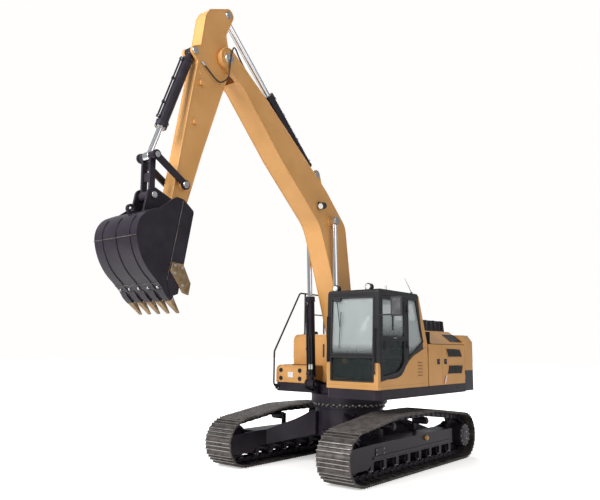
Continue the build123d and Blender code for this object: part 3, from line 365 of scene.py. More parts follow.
shoe_finishes = ("track steel", "bare steel", "dark paint", "cast metal")
track_y = 1.19
for name, y in (("left", track_y), ("right", -track_y)):
    shoes = bmesh.new()
    for start, end in zip(pins, pins[1:] + pins[:1]):
        run = (end - start).normalized()
        placed = one_shoe.copy()
        placed.transform(Matrix(((run.x, 0, run.y, start.x), (0, 1, 0, y), (run.y, 0, -run.x, start.y),
                                 (0, 0, 0, 1))))
        shoes.from_mesh(placed)
        bpy.data.meshes.remove(placed)
    fix(shoes, f"track_shoes_{name}", "undercarriage", shoe_finishes,
        stands_for=(f"track_{name}",))

# Track frames: welded box beams of steel plate, with a rolled bead on both edges of the outer side, whose
# lighter steel is a painted highlight.
# A rail is welded on over the rollers, a bolted plate closes the tensioner's hatch, bolts hold the
# rollers' collars from below, and turned caps close the carrier rollers.
frame_half, frame_low, frame_high = 0.18, 0.31, 0.57
rail_low, rail_high, roller_count, collar_half = frame_low + 0.03, frame_low + 0.075, 8, 0.135
beam = bmesh.new()
for side_sign in (-1, 1):
    out = side_sign * (track_y + frame_half)
    # The edge beads take the lighter track steel (finish 1): painted highlight lines along the frame's top
    # and bottom edges.
    for z, back, front, size in ((frame_high - 0.004, -1.36, 1.43, 0.006),
                                 (frame_low + 0.012, -1.38, 1.40, 0.007)):
        rod(beam, (back, out, z), (front, out, z), size, 1, 8)
    slab(beam, [(-1.30, out, rail_low), (1.36, out, rail_low), (1.36, out, rail_high),
                (-1.30, out, rail_high)], (0, side_sign * 0.012, 0))
    slab(beam, [(1.05, out, 0.40), (1.30, out, 0.40), (1.30, out, 0.50), (1.05, out, 0.50)],
         (0, side_sign * 0.01, 0))
    for x, z in ((1.065, 0.415), (1.285, 0.415), (1.065, 0.485), (1.285, 0.485)):
        rod(beam, (x, out, z), (x, out + side_sign * 0.02, z), 0.010, 2, 6)
    for i in range(roller_count):
        x = -1.33 + 2.68 / (roller_count - 1) * i
        for dx in (-0.028, 0.028):
            for y in (side_sign * (track_y - collar_half), side_sign * (track_y + collar_half)):
                rod(beam, (x + dx, y, 0.178), (x + dx, y, 0.163), 0.011, 2, 6)
    cap_foot, cap_end, cap_z = side_sign * (track_y + 0.115), side_sign * (track_y + 0.135), 0.765
    for x, _ in carriers:
        rod(beam, (x, cap_foot, cap_z), (x, cap_end, cap_z), 0.045, 0, 24)
fix(beam, "track_frame_edges", "undercarriage", ("dark paint", "track steel", "bare steel"))

# Frame bosses: one turned steel boss on the outer side of each track frame, welded on and painted ochre.
# It is a short drum with a smaller, tapered end.
bosses = bmesh.new()
boss_x, boss_z = -0.35, 0.50
for side_sign in (-1, 1):
    out = side_sign * (track_y + frame_half)
    step, end = out + side_sign * 0.035, out + side_sign * 0.05
    rod(bosses, (boss_x, out, boss_z), (boss_x, step, boss_z), 0.042, 0, 24)
    rod(bosses, (boss_x, step, boss_z), (boss_x, end, boss_z), 0.03, 0, 24, 0.024)
fix(bosses, "track_frame_eyes", "undercarriage", ("ochre paint",), 0.003)

# Final drives: cast iron covers over the planet gears, one bolted on outside each sprocket.
# Each is a disc with a raised centre, a ring of twelve bolts round it and two oil plugs.
drive = bmesh.new()
drive_x, drive_z = sprocket
drive_out, bolt_ring, bolt_count = 1.45, 0.185, 12
for side_sign in (-1, 1):
    base, rim, head, crown, plug = (side_sign * (drive_out + up) for up in (0, 0.012, 0.016, 0.03, 0.04))
    rod(drive, (drive_x, base, drive_z), (drive_x, rim, drive_z), 0.168, 0, 48)
    rod(drive, (drive_x, rim, drive_z), (drive_x, crown, drive_z), 0.115, 0, 48, 0.1)
    for i in range(bolt_count):
        angle = 2 * pi * i / bolt_count
        x, z = drive_x + bolt_ring * cos(angle), drive_z + bolt_ring * sin(angle)
        rod(drive, (x, base, z), (x, head, z), 0.012, 1, 6)
    for z in (drive_z - 0.06, drive_z + 0.06):
        rod(drive, (drive_x, crown, z), (drive_x, plug, z), 0.016, 1, 6)
fix(drive, "final_drive_covers", "undercarriage", ("cast metal", "bare steel"), 0.003)

# Swing bearing: forged steel rings between the car body and the upper frame, bolted to both.
# The upper bolts ride with the deck, and the flange with the lower bolts stays on the car body.


def recoat(node, finish):
    """Give the piece of a node another finish than that of its slot."""
    bpy.data.objects[f"{node}_skin"].data.materials[0] = bpy.data.materials[finish]


recoat("bearing_inner_ring", "track steel")
upper_ring, lower_ring, bearing_bolts = bmesh.new(), bmesh.new(), 36
bmesh.ops.create_cone(lower_ring, cap_ends=True, segments=64, radius1=0.66, radius2=0.66, depth=0.03,
                      matrix=Matrix.Translation((0, 0, 0.985)))
# Columns: mesh, share of a pitch it is turned by, radius of the ring, foot, end, bolt radius, finish.
for mesh, shift, circle, foot, end, size, finish in ((upper_ring, 0, 0.66, 1.05, 1.025, 0.016, 0),
                                                     (lower_ring, 0.5, 0.635, 1.0, 1.02, 0.015, 1)):
    for i in range(bearing_bolts):
        angle = 2 * pi * (i + shift) / bearing_bolts
        x, y = circle * cos(angle), circle * sin(angle)
        rod(mesh, (x, y, foot), (x, y, end), size, finish, 6)
fix(upper_ring, "swing_bearing_bolts_upper", "upper", ("bare steel",))
fix(lower_ring, "swing_bearing_flange", "undercarriage", ("dark paint", "bare steel"), 0.003)

# Car body: a drum on four legs of steel plate, welded and painted dark.
# A stiffening rib lies along each leg, and a weld bead runs down beside it.
ribs = bmesh.new()
rib_corners = ((0.45, 0.45, 0.88), (0.75, 0.95, 0.60), (0.78, 0.93, 0.60), (0.48, 0.43, 0.88))
for x_sign in (-1, 1):
    for y_sign in (-1, 1):
        rod(ribs, (x_sign * 0.30, y_sign * 0.58, 0.895), (x_sign * 0.62, y_sign * 1.0, 0.59), 0.012, 0, 8)
        slab(ribs, [(x_sign * x, y_sign * y, z) for x, y, z in rib_corners], (0, 0, 0.03))
fix(ribs, "car_body_ribs", "undercarriage", ("dark paint",), 0.004)

# Deck: the upper frame's skirt of bent plate, with folded lips and four bolt heads on the left side.
# A ribbed step plate of cast metal is bolted on at the front, just right of the boom.
deck = bmesh.new()
deck_half, deck_low, deck_high = 1.37, 1.21, 1.37
step_low, step_top, rib_top, rib_pitch = 1.372, 1.378, 1.384, 0.036
block(deck, (-1.95, deck_half - 0.004, deck_high - 0.012), (1.05, deck_half + 0.006, deck_high), 0)
block(deck, (-1.95, -deck_half - 0.006, deck_high - 0.012), (0.40, 0.004 - deck_half, deck_high), 0)
block(deck, (-1.9, deck_half - 0.002, deck_low), (1.05, deck_half + 0.008, deck_low + 0.016), 0)
for x in (-1.7, -0.9, -0.1, 0.7):
    rod(deck, (x, deck_half, 1.30), (x, deck_half + 0.012, 1.30), 0.012, 1, 6)
block(deck, (0.36, -0.40, step_low), (0.55, -0.28, step_top), 1)
for i in range(5):
    block(deck, (0.37 + rib_pitch * i, -0.39, step_top), (0.376 + rib_pitch * i, -0.29, rib_top), 1)
fix(deck, "deck_trim", "upper", ("dark paint", "cast metal"), 0.002)

# Counterweight: cast iron, painted ochre, with a dark coat below the parting line.
# A plate with two flush steel plugs is bolted to its back, and two round caps close the top.
parting_line = 1.62


def two_coats(name, dark):
    """Copy of the ochre paint with a dark coat, and its nodes for the place on a piece and for the mask."""
    paint = bpy.data.materials["ochre paint"].copy()
    paint.name = name
    nodes, links = paint.node_tree.nodes, paint.node_tree.links
    place = nodes.new("ShaderNodeSeparateXYZ")
    links.new(nodes["Texture Coordinate"].outputs["Object"], place.inputs["Vector"])
    coat = nodes.new("ShaderNodeMix")
    coat.data_type = "RGBA"
    coat.inputs[6].default_value = (*dark, 1)
    links.new(nodes["Color Ramp"].outputs["Color"], coat.inputs[7])
    links.new(coat.outputs[2], nodes["Principled BSDF"].inputs["Base Color"])
    return paint, place, coat


def reckon(paint, operation, *feeds):
    """Output of a math node in a paint, fed by other outputs or by plain numbers."""
    made = paint.node_tree.nodes.new("ShaderNodeMath")
    made.operation = operation
    for socket, feed in zip(made.inputs, feeds):
        if isinstance(feed, float):
            socket.default_value = feed
        else:
            paint.node_tree.links.new(feed, socket)
    return made.outputs[0]


two_tone, place, coat = two_coats("counterweight paint", (0.020, 0.016, 0.024))
above_line = reckon(two_tone, "GREATER_THAN", place.outputs["Z"], parting_line)
two_tone.node_tree.links.new(above_line, coat.inputs[0])
recoat("counterweight", "counterweight paint")
tail = bmesh.new()
block(tail, (-2.872, -0.16, 1.42), (-2.83, 0.16, 1.56), 0)
for y in (-0.105, 0.105):
    rod(tail, (-2.872, y, 1.49), (-2.85, y, 1.49), 0.03, 1, 16)
for y in (-0.8, 0.8):
    rod(tail, (-2.40, y, 2.30), (-2.40, y, 2.318), 0.045, 0, 24)
fix(tail, "counterweight_fittings", "upper", ("dark paint", "bare steel"), 0.004)

# Side doors: pressed steel sheet on hinges, shut by moulded latches with a steel lock.
# Two openings in the left rear door have dark slats in a raised frame.
face_y, slat_count = 1.37, 7
panels = (((-1.21, 2.04), (-1.82, 2.03), (-1.93, 1.88), (-1.30, 1.88)),
          ((-1.32, 1.73), (-1.95, 1.72), (-1.89, 1.56), (-1.26, 1.57)))
louvre = bmesh.new()
for corners in panels:
    middle = sum((Vector((x, 0, z)) for x, z in corners), Vector()) / 4
    slab(louvre, [(x, face_y + 0.001, z) for x, z in corners], (0, 0.004, 0), 0)
    foot_y, slat_y = face_y + 0.004, face_y + 0.013
    for (ax, az), (bx, bz) in zip(corners, corners[1:] + corners[:1]):
        rod(louvre, (ax, foot_y, az), (bx, foot_y, bz), 0.009, 1, 8)
    low, high = min(z for _, z in corners), max(z for _, z in corners)
    for i in range(slat_count):
        share = (i + 0.5) / slat_count
        z = low + (high - low) * share
        x0 = corners[3][0] + (corners[0][0] - corners[3][0]) * share - 0.01
        x1 = corners[2][0] + (corners[1][0] - corners[2][0]) * share + 0.01
        slab(louvre, [(x0, foot_y, z - 0.006), (x1, foot_y, z - 0.006), (x1, slat_y, z + 0.002),
                      (x0, slat_y, z + 0.002)], (0, 0.001, 0.004), 0)
    rod(louvre, (middle.x, foot_y, low), (middle.x, foot_y, high), 0.006, 0, 8)
fix(louvre, "left_rear_door_louvres", "left_rear_door", ("black plastic", "ochre paint"))
latches = (("left_front_door", (-0.91, 1.80), 1), ("left_rear_door", (-1.20, 1.80), 1),
           ("pump_door", (-1.95, 1.80), -1), ("pump_door", (-1.95, 1.60), -1))
for i, (door, (x, z), way) in enumerate(latches):
    latch = bmesh.new()
    for deep, proud, half, low, high, finish in ((-0.01, 0.004, 0.055, -0.05, 0.05, 0),
                                                 (0.0, 0.012, 0.035, -0.02, 0.03, 1)):
        near, far = sorted((way * (face_y + deep), way * (face_y + proud)))
        block(latch, (x - half, near, z + low), (x + half, far, z + high), finish)
    rod(latch, (x, way * (face_y + 0.01), z + 0.01), (x, way * (face_y + 0.015), z + 0.01), 0.009, 2, 12)
    fix(latch, f"latch_{i}", door, ("black plastic", "dark paint", "bare steel"), 0.003)

# Body side: five air slots pressed out of the sheet behind the cab's door, each with a black strip as painted
# shade in its opening.
# A slanted red band and a white one, both of thin film, are stuck on the left rear door.
slots = bmesh.new()
for i in range(5):
    z = 1.58 + 0.055 * i
    block(slots, (-0.28, face_y - 0.002, z - 0.012), (-0.10, face_y + 0.006, z + 0.012), 0)
    # Black strip on each slot's lower half: painted shade where the slot opens into the body.
    block(slots, (-0.275, face_y + 0.005, z - 0.012), (-0.105, face_y + 0.009, z - 0.003), 1)
fix(slots, "air_slots", "upper", ("ochre paint", "black plastic"), 0.002)
bands = bmesh.new()
band_corners = ((-1.09, 1.40), (-1.13, 1.40), (-1.21, 1.54), (-1.17, 1.54))
for shift, finish in ((0.0, 0), (0.055, 1)):
    slab(bands, [(x - shift, face_y + 0.0005, z) for x, z in band_corners], (0, 0.001, 0), finish)
for name, colour in (("red band", (0.42, 0.012, 0.010, 1)), ("white band", (0.82, 0.80, 0.77, 1))):
    dial(new_paint(name)[-1], {"Base Color": colour, "Roughness": 0.35})
fix(bands, "side_bands", "left_rear_door", ("red band", "white band"))

# Hood: pressed steel over the engine, with a slatted opening in a frame on its sloping left side.
# Two bent lift handles are welded on at the back, and the radiator grille on top has cast ribs on its
# left side and its top, with dark rungs between them.
cover = bmesh.new()
slope = [Vector(corner) for corner in ((-1.56, 1.305, 2.175), (-2.04, 1.305, 2.175), (-2.04, 1.135, 2.302),
                                       (-1.56, 1.135, 2.302))]
outward, slat_count = Vector((0, 0.595, 0.804)), 6
raised = outward * 0.006
slab(cover, [point + outward * 0.001 for point in slope], raised, 0)
for i in range(slat_count):
    share = (i + 0.5) / slat_count
    rod(cover, slope[0].lerp(slope[3], share) + raised, slope[1].lerp(slope[2], share) + raised, 0.006, 1, 6)
for i in range(4):
    rod(cover, slope[i] + raised, slope[i - 1] + raised, 0.009, 1, 8)
handle_x, handle_low, handle_top, handle_half, handle_r = -2.0, 2.375, 2.41, 0.12, 0.009
for y in (0.3, 0.7):
    ends = (y - handle_half, y + handle_half)
    for end in ends:
        rod(cover, (handle_x, end, handle_low), (handle_x, end, handle_top), handle_r, 1, 8)
    rod(cover, (handle_x, ends[0], handle_top), (handle_x, ends[1], handle_top), handle_r, 1, 8)
fix(cover, "hood_fittings", "hood", ("black plastic", "dark paint"))
rungs = bmesh.new()
top_face, left_face, right_face, rung_pitch = 2.585, 0.95, -0.4, 0.05
for x in (-1.26, -1.44, -1.62, -1.80, -1.97):
    block(rungs, (x - 0.012, left_face, 2.39), (x + 0.012, left_face + 0.012, 2.58), 0)
for x in (-1.30, -1.62, -1.94):
    block(rungs, (x - 0.02, right_face + 0.02, top_face), (x + 0.02, left_face - 0.02, top_face + 0.008), 0)
for i in range(26):
    y = right_face + 0.04 + rung_pitch * i
    block(rungs, (-1.96, y, top_face), (-1.26, y + 0.02, top_face + 0.004), 1)
fix(rungs, "radiator_grille_rungs", "hood", ("cast metal", "black plastic"), 0.002)

# Tanks and tool box: welded sheet. Moulded filler caps are screwed on the tanks, and a level glass and a
# stepped cover are fixed to the fuel tank's front.
# The box has treads on its lid, and four round plugs and a pale plate on its front.
tanks = bmesh.new()
# Columns: x and y of the cap, foot, end, radius, finish.
for x, y, foot, end, size, finish in ((-0.30, -1.05, 2.285, 2.34, 0.07, 0),
                                      (-0.30, -1.05, 2.34, 2.352, 0.055, 1),
                                      (-0.90, -1.0, 2.235, 2.28, 0.09, 1)):
    rod(tanks, (x, y, foot), (x, y, end), size, finish, 32)
block(tanks, (0.012, -0.60, 1.85), (0.024, -0.56, 2.10), 0)
block(tanks, (0.014, -1.12, 1.84), (0.028, -0.86, 2.02), 2)
block(tanks, (0.020, -1.10, 1.86), (0.032, -0.88, 2.00), 2)
for y in (-1.27, -1.18, -1.09, -1.0, -0.91, -0.82, -0.73):
    block(tanks, (0.06, y, 1.70), (0.38, y + 0.03, 1.705), 1)
for y, z in ((-1.22, 1.60), (-0.76, 1.60), (-1.22, 1.45), (-0.76, 1.45)):
    rod(tanks, (0.525, y, z), (0.533, y, z), 0.043, 0, 28)
    rod(tanks, (0.533, y, z), (0.536, y, z), 0.027, 1, 28)
block(tanks, (0.525, -1.05, 1.47), (0.530, -0.92, 1.57), 3)
tank_finishes = ("black plastic", "dark paint", "ochre paint", "lamp lens")
fix(tanks, "tank_fittings", "upper", tank_finishes, 0.003)

# Handrail: bent steel tube on steel plates, one at the deck and one on each tank.
# Hexagon bolts hold the plates at the deck and on the fuel tank.
feet = bmesh.new()
rail_y = -1.30
block(feet, (0.528, rail_y - 0.05, 1.24), (0.542, rail_y + 0.05, 1.34), 0)
block(feet, (-0.35, rail_y - 0.045, 2.29), (-0.25, rail_y + 0.05, 2.30), 0)
block(feet, (-1.0, rail_y - 0.045, 2.24), (-0.90, rail_y + 0.05, 2.25), 0)
for y in (rail_y - 0.035, rail_y + 0.035):
    rod(feet, (-0.30, y, 2.30), (-0.30, y, 2.31), 0.010, 1, 6)
    rod(feet, (0.542, y, 1.26), (0.552, y, 1.26), 0.010, 1, 6)
fix(feet, "handrail_feet", "upper", ("dark paint", "bare steel"), 0.002)

# Cab paint: sprayed on steel, black above and ochre below a line that sweeps up to the rear pillar.
# The line is a curve over the length of the cab, and the rear pillar's edge leans with the quarter window.
cab_paint, place, coat = two_coats("cab paint", (0.011, 0.010, 0.012))
nodes, links = cab_paint.node_tree.nodes, cab_paint.node_tree.links
sweep_start, sweep_end, sweep_low, sweep_high = -0.55, 1.25, 1.4, 2.2
pillar_lean, pillar_start = 0.19, -0.71
along = nodes.new("ShaderNodeMapRange")
dial(along, {"From Min": sweep_start, "From Max": sweep_end})
links.new(place.outputs["X"], along.inputs["Value"])
sweep = nodes.new("ShaderNodeFloatCurve")
bend = sweep.mapping.curves[0]
sweep_line = ((-0.52, 2.10), (-0.25, 2.0), (0.06, 1.90), (0.28, 1.76), (0.36, 1.67), (0.51, 1.57),
              (0.99, 1.54), (1.09, 1.56), (1.13, 1.72), (1.16, 1.79), (1.25, 1.79))
shares = [((x - sweep_start) / (sweep_end - sweep_start), (z - sweep_low) / (sweep_high - sweep_low))
          for x, z in sweep_line]
bend.points[0].location, bend.points[1].location = shares[0], shares[-1]
for share in shares[1:-1]:
    bend.points.new(*share)
sweep.mapping.update()
links.new(along.outputs["Result"], sweep.inputs["Value"])
line = nodes.new("ShaderNodeMapRange")
dial(line, {"To Min": sweep_low, "To Max": sweep_high})
links.new(sweep.outputs["Value"], line.inputs["Value"])
below = reckon(cab_paint, "LESS_THAN", place.outputs["Z"], line.outputs["Result"])
lean = reckon(cab_paint, "MULTIPLY_ADD", place.outputs["Z"], pillar_lean, pillar_start)
behind = reckon(cab_paint, "LESS_THAN", place.outputs["X"], lean)
links.new(reckon(cab_paint, "MAXIMUM", below, behind), coat.inputs[0])
for node in ("cab_left", "cab_right", "cab_front", "cab_rear"):
    recoat(node, "cab paint")
for node, finish in (("cab_floor", "ochre paint"), ("cab_roof", "black plastic"),
                     ("cab_door", "black plastic"), ("door_glass", "door glass")):
    recoat(node, finish)

# Window seals: extruded black rubber, pressed round the panes to hold them in their frames.
# Those of the fixed panes stay on the cab, and those of the door's two panes swing with the door.
cab_left_y, cab_right_y = 1.37, 0.36
seal_r, screen_seal_r, door_seal_r = 0.013, 0.014, 0.011


def bead(mesh, points, radius, finish=0, closed=True):
    """Round strip along straight runs, with a ball at each corner."""
    ends = zip(points, points[1:] + points[:1] if closed else points[1:])
    for start, end in ends:
        rod(mesh, start, end, radius, finish, 8)
    for point in points:
        made = bmesh.ops.create_icosphere(mesh, subdivisions=1, radius=radius,
                                          matrix=Matrix.Translation(point))
        give_finish(made["verts"], finish)


seal = bmesh.new()
quarter = ((0.215, 1.86), (0.215, 2.87), (-0.075, 2.87), (-0.31, 2.15))
bead(seal, [(x, cab_left_y - 0.002, z) for x, z in quarter], seal_r)
right_pane = ((-0.32, 1.75), (1.04, 1.75), (1.04, 2.85), (-0.085, 2.85), (-0.32, 2.17))
bead(seal, [(x, cab_right_y + 0.002, z) for x, z in right_pane], seal_r)
# Columns: the two y edges of the pane, x and z of its lower edge, x and z of its upper edge, seal radius.
for y0, y1, x0, z0, x1, z1, size in ((0.45, 1.28, 1.203, 1.93, 1.172, 2.86, screen_seal_r),
                                     (0.45, 1.28, 1.2, 1.5, 1.204, 1.88, screen_seal_r),
                                     (0.48, 1.25, -0.455, 2.21, -0.232, 2.84, seal_r)):
    bead(seal, [(x0, y0, z0), (x0, y1, z0), (x1, y1, z1), (x1, y0, z1)], size)
fix(seal, "window_seals", "upper", ("black plastic",))
seal = bmesh.new()
for pane_corners in (((1.065, 2.215), (1.065, 2.83), (0.35, 2.83), (0.35, 2.215)),
                     ((1.065, 1.58), (1.065, 2.165), (0.35, 2.165), (0.35, 1.83), (0.43, 1.72), (0.575, 1.64),
                      (0.97, 1.585))):
    bead(seal, [(x, cab_left_y, z) for x, z in pane_corners], door_seal_r)
fix(seal, "door_seals", "cab_door", ("black plastic",))

# Sweep trim: a rolled steel strip on the line between the two paints, welded to the cab's left side.
# It climbs from behind the door to the rear pillar and is painted ochre.
trim = bmesh.new()
trim_line = ((0.27, 1.765), (0.15, 1.845), (0.06, 1.90), (-0.1, 1.952), (-0.25, 2.0), (-0.39, 2.048),
             (-0.485, 2.08))
bead(trim, [(x, cab_left_y + 0.001, z - 0.006) for x, z in trim_line], 0.009, 0, False)
fix(trim, "sweep_trim", "upper", ("ochre paint",))

# Door furniture: a bar handle of painted steel on a moulded plate, and a steel grip for the sliding pane.
# The moulded rail between the panes and the upright strip in the upper one are held by the door's frame.
handle = bmesh.new()
handle_x, handle_y = 1.02, cab_left_y + 0.03
block(handle, (0.99, cab_left_y - 0.004, 2.02), (1.05, cab_left_y + 0.012, 2.14), 0)
rod(handle, (handle_x, handle_y, 2.03), (handle_x, handle_y, 2.13), 0.011, 1, 12)
for z in (2.035, 2.125):
    rod(handle, (handle_x, cab_left_y, z), (handle_x, handle_y, z), 0.009, 1, 10)
block(handle, (0.36, cab_left_y - 0.004, 2.185), (1.06, cab_left_y + 0.006, 2.197), 0)
block(handle, (0.70, cab_left_y - 0.02, 2.33), (0.712, cab_left_y + 0.003, 2.82), 0)
block(handle, (0.62, cab_left_y, 2.195), (0.72, cab_left_y + 0.016, 2.21), 2)
door_finishes = ("black plastic", "dark paint", "bare steel")
fix(handle, "door_furniture", "cab_door", door_finishes, 0.002)

# Grab rails and wiper: coated steel tube at both edges of the front screen, each rail welded to two posts.
# The wiper's motor box, arm and blade are black and are screwed to the frame of the upper screen.
rail = bmesh.new()
post_x, rail_x, post_inset = 1.19, 1.235, 0.02
for y, low, high in ((1.315, 1.62, 2.35), (0.40, 1.80, 2.55)):
    rod(rail, (rail_x, y, low), (rail_x, y, high), 0.012, 0, 12)
    for z in (low + post_inset, high - post_inset):
        rod(rail, (post_x, y, z), (rail_x, y, z), 0.010, 0, 10)
fix(rail, "grab_rails", "upper", ("dark paint",))
wiper = bmesh.new()
block(wiper, (1.17, 0.50, 2.80), (1.20, 0.64, 2.86), 0)
rod(wiper, (1.197, 0.57, 2.82), (1.212, 0.64, 2.36), 0.007, 0, 8)
rod(wiper, (1.205, 0.66, 2.62), (1.216, 0.62, 2.02), 0.006, 0, 8)
fix(wiper, "wiper", "upper", ("black plastic",), 0.002)

# Roof: a moulded black panel with a raised vent, screwed on, and rolled gutters along both sides.
# A whip aerial stands on a foot at the left rear corner, and a pale stub for a beacon beside the vent.
roof = bmesh.new()
roof_z, panel_top, aerial_foot = 2.99, 0.014, 0.03
block(roof, (-0.05, 0.47, roof_z - 0.002), (0.98, 1.26, roof_z + panel_top), 0)
block(roof, (0.18, 0.62, roof_z + panel_top), (0.72, 1.10, roof_z + 0.034), 0)
for y in (0.385, 1.345):
    rod(roof, (-0.10, y, roof_z - 0.012), (1.10, y, roof_z - 0.012), 0.016, 0, 10)
rod(roof, (-0.05, 1.30, roof_z), (-0.05, 1.30, roof_z + aerial_foot), 0.022, 0, 14)
rod(roof, (-0.05, 1.30, roof_z + aerial_foot), (0.18, 1.30, roof_z + 0.26), 0.006, 0, 8, 0.003)
rod(roof, (0.62, 1.18, roof_z), (0.62, 1.18, roof_z + 0.10), 0.016, 1, 14)
fix(roof, "roof_panel", "upper", ("black plastic", "lamp lens"), 0.006)

# Work lamps: two round lamps at the roof's front edge, each a moulded black shell with a glass lens.
# A small black foot under each shell is bolted to the roof.
lamps = bmesh.new()
lamp_z = roof_z + 0.042
for y in (0.47, 1.13):
    block(lamps, (1.06, y - 0.02, roof_z - 0.005), (1.09, y + 0.02, roof_z + 0.02), 0)
    rod(lamps, (1.02, y, lamp_z), (1.105, y, lamp_z), 0.064, 0, 24)
    rod(lamps, (1.105, y, lamp_z), (1.122, y, lamp_z), 0.049, 1, 24, 0.042)
fix(lamps, "roof_lamps", "upper", ("black plastic", "lamp lens"), 0.004, ("cab_lamps",))

# Mirror: silvered glass in a moulded shell that is clamped to its bracket at the cab's left front.
# The glass looks back, and a dull panel covers the front of the shell.
mirror = bmesh.new()
block(mirror, (1.180, 1.622, 2.56), (1.187, 1.778, 2.82), 0)
block(mirror, (1.141, 1.615, 2.55), (1.150, 1.785, 2.83), 1)
fix(mirror, "mirror_glass", "upper", ("cast metal", "chrome"), 0.004)

# Seat and controls: bolsters of moulded black foam, fixed along both sides of the cushion and of the back.
# On each console are a moulded arm pad, and a rubber boot and a round knob on the lever.
trim = bmesh.new()
seat_x, seat_y, floor_z, bolster_half, lever_x = 0.33, 0.865, 1.43, 0.04, 0.595
# Columns: back end, front end, distance from the seat's middle, bottom, top.
for back, front, side_reach, low, high in ((-0.22, 0.24, 0.20, 0.45, 0.49), (-0.21, -0.16, 0.19, 0.50, 0.98)):
    for side_sign in (-1, 1):
        y = seat_y + side_sign * side_reach
        block(trim, (seat_x + back, y - bolster_half, floor_z + low),
              (seat_x + front, y + bolster_half, floor_z + high), 0)
for side_sign in (-1, 1):
    y = seat_y + side_sign * 0.335
    rod(trim, (lever_x, y, floor_z + 0.56), (lever_x, y, floor_z + 0.64), 0.05, 0, 20, 0.022)
    bmesh.ops.create_icosphere(trim, subdivisions=2, radius=0.034,
                               matrix=Matrix.Translation((lever_x, y, floor_z + 0.87)))
    block(trim, (seat_x - 0.18, y - 0.05, floor_z + 0.56), (seat_x + 0.2, y + 0.05, floor_z + 0.60), 0)
fix(trim, "seat_trim", "upper", ("black plastic",), 0.01)

# Boom: a welded box of steel plate. A bead runs along every outer edge of the side plates, turned doubler
# rings are welded round the pins, and bolted steel caps hold the pins.
boom_y = -0.05


def edge_beads(mesh, node, half, radius):
    """Weld bead on each creased edge of a node's two side plates."""
    shape = merged_copy(node)
    for edge in shape.edges:
        start, end = (vert.co.copy() for vert in edge.verts)
        on_side = abs(abs(start.y - boom_y) - half) < 1e-4 and abs(start.y - end.y) < 1e-4
        if on_side and len(edge.link_faces) == 2 and edge.calc_face_angle(0) > crease:
            lean = (end - start).normalized() * 0.001
            rod(mesh, start - lean, end + lean, radius, 0, 8)
    shape.free()


def ring_at(mesh, place, reach, radius, thick, finish=0, sides=36, tip=None):
    """Round plate on both sides of the boom plane, standing out from a reach."""
    for side_sign in (-1, 1):
        rod(mesh, (place[0], boom_y + side_sign * reach, place[1]),
            (place[0], boom_y + side_sign * (reach + thick), place[1]), radius, finish, sides, tip)


boom_tip, boom_eye, arm_foot = (3.475, 6.41), (0.825, 4.29), (1.115, 5.12)
boom_half, arm_half = 0.19, 0.105
welds = bmesh.new()
edge_beads(welds, "boom", boom_half, 0.008)
for (x, z), size in ((boom_tip, 0.12), (boom_eye, 0.15)):
    ring_at(welds, (x, z), boom_half - 0.002, size, 0.012)
fix(welds, "boom_welds", "boom", ("ochre paint",))
caps = bmesh.new()
ring_at(caps, boom_tip, boom_half + 0.010, 0.085, 0.014, 0, 36, 0.078)
ring_at(caps, boom_tip, boom_half + 0.024, 0.030, 0.006, 0, 24)
ring_at(caps, boom_eye, 0.236, 0.036, 0.10, 0, 24)
ring_at(caps, boom_eye, 0.345, 0.075, 0.016, 0, 36, 0.066)
ring_at(caps, arm_foot, 0.118, 0.066, 0.014, 0, 36, 0.058)
bolt_count = 3
for place, reach, size in ((boom_tip, boom_half + 0.024, 0.058), (boom_eye, 0.361, 0.048)):
    for i in range(bolt_count):
        angle = pi * (0.5 + 2 * i / bolt_count)
        spot = (place[0] + size * cos(angle), place[1] + size * sin(angle))
        ring_at(caps, spot, reach - 0.002, 0.009, 0.008, 0, 6)
fix(caps, "boom_pin_caps", "boom", ("bare steel",), 0.002)

# Boom lamp: a round work lamp on the boom's left side plate, a moulded shell with a glass lens.
# Its flat foot is bolted to the plate, and the shell looks forward and a little down.
fittings = bmesh.new()
lamp_x, lamp_z, plate_y, lamp_y = 1.14, 4.53, boom_y + boom_half, boom_y + boom_half + 0.075
lamp_front = (lamp_x + 0.06, lamp_y, lamp_z - 0.03)
block(fittings, (lamp_x - 0.05, plate_y, lamp_z - 0.06), (lamp_x + 0.05, plate_y + 0.02, lamp_z + 0.06), 0)
rod(fittings, (lamp_x - 0.04, lamp_y, lamp_z), lamp_front, 0.06, 0, 24)
rod(fittings, lamp_front, (lamp_x + 0.075, lamp_y, lamp_z - 0.0345), 0.053, 1, 24, 0.047)
fix(fittings, "boom_lamp", "boom", ("black plastic", "lamp lens"), 0.003)

# Arm: a welded box of steel plate with a bead along each edge and a doubler plate round the boom-tip pin.
# Two turned posts for hoses are welded to the left side, and steel caps hold the pins.
welds = bmesh.new()
edge_beads(welds, "arm", arm_half, 0.007)
arm_eye, rod_foot, guide_pin, bucket_pin = (3.425, 7.18), (4.08, 6.33), (4.215, 4.25), (4.305, 3.84)
posts = ((3.957, 5.861), (4.05, 5.226))
ring_at(welds, boom_tip, arm_half - 0.002, 0.15, 0.004)
ring_at(welds, posts[0], arm_half - 0.002, 0.045, 0.012)
post_foot, post_neck, post_end = boom_y + arm_half, boom_y + arm_half + 0.05, boom_y + arm_half + 0.06
for x, z in posts:
    rod(welds, (x, post_foot, z), (x, post_neck, z), 0.032, 0, 20)
    rod(welds, (x, post_neck, z), (x, post_end, z), 0.044, 0, 20)
doubler = [(4.003, 6.067), (3.96, 6.0), (3.891, 5.94), (3.80, 5.908), (3.709, 5.906), (3.60, 5.945),
           (3.52, 6.0)]
for y in (boom_y + arm_half, boom_y - arm_half):
    bead(welds, [(x, y, z) for x, z in doubler], 0.008, 0, False)
fix(welds, "arm_welds", "arm", ("ochre paint",))
caps = bmesh.new()
ring_at(caps, arm_eye, arm_half, 0.062, 0.016, 0, 36, 0.054)
ring_at(caps, rod_foot, 0.110, 0.058, 0.014, 0, 36, 0.05)
ring_at(caps, guide_pin, 0.186, 0.052, 0.016, 0, 36, 0.044)
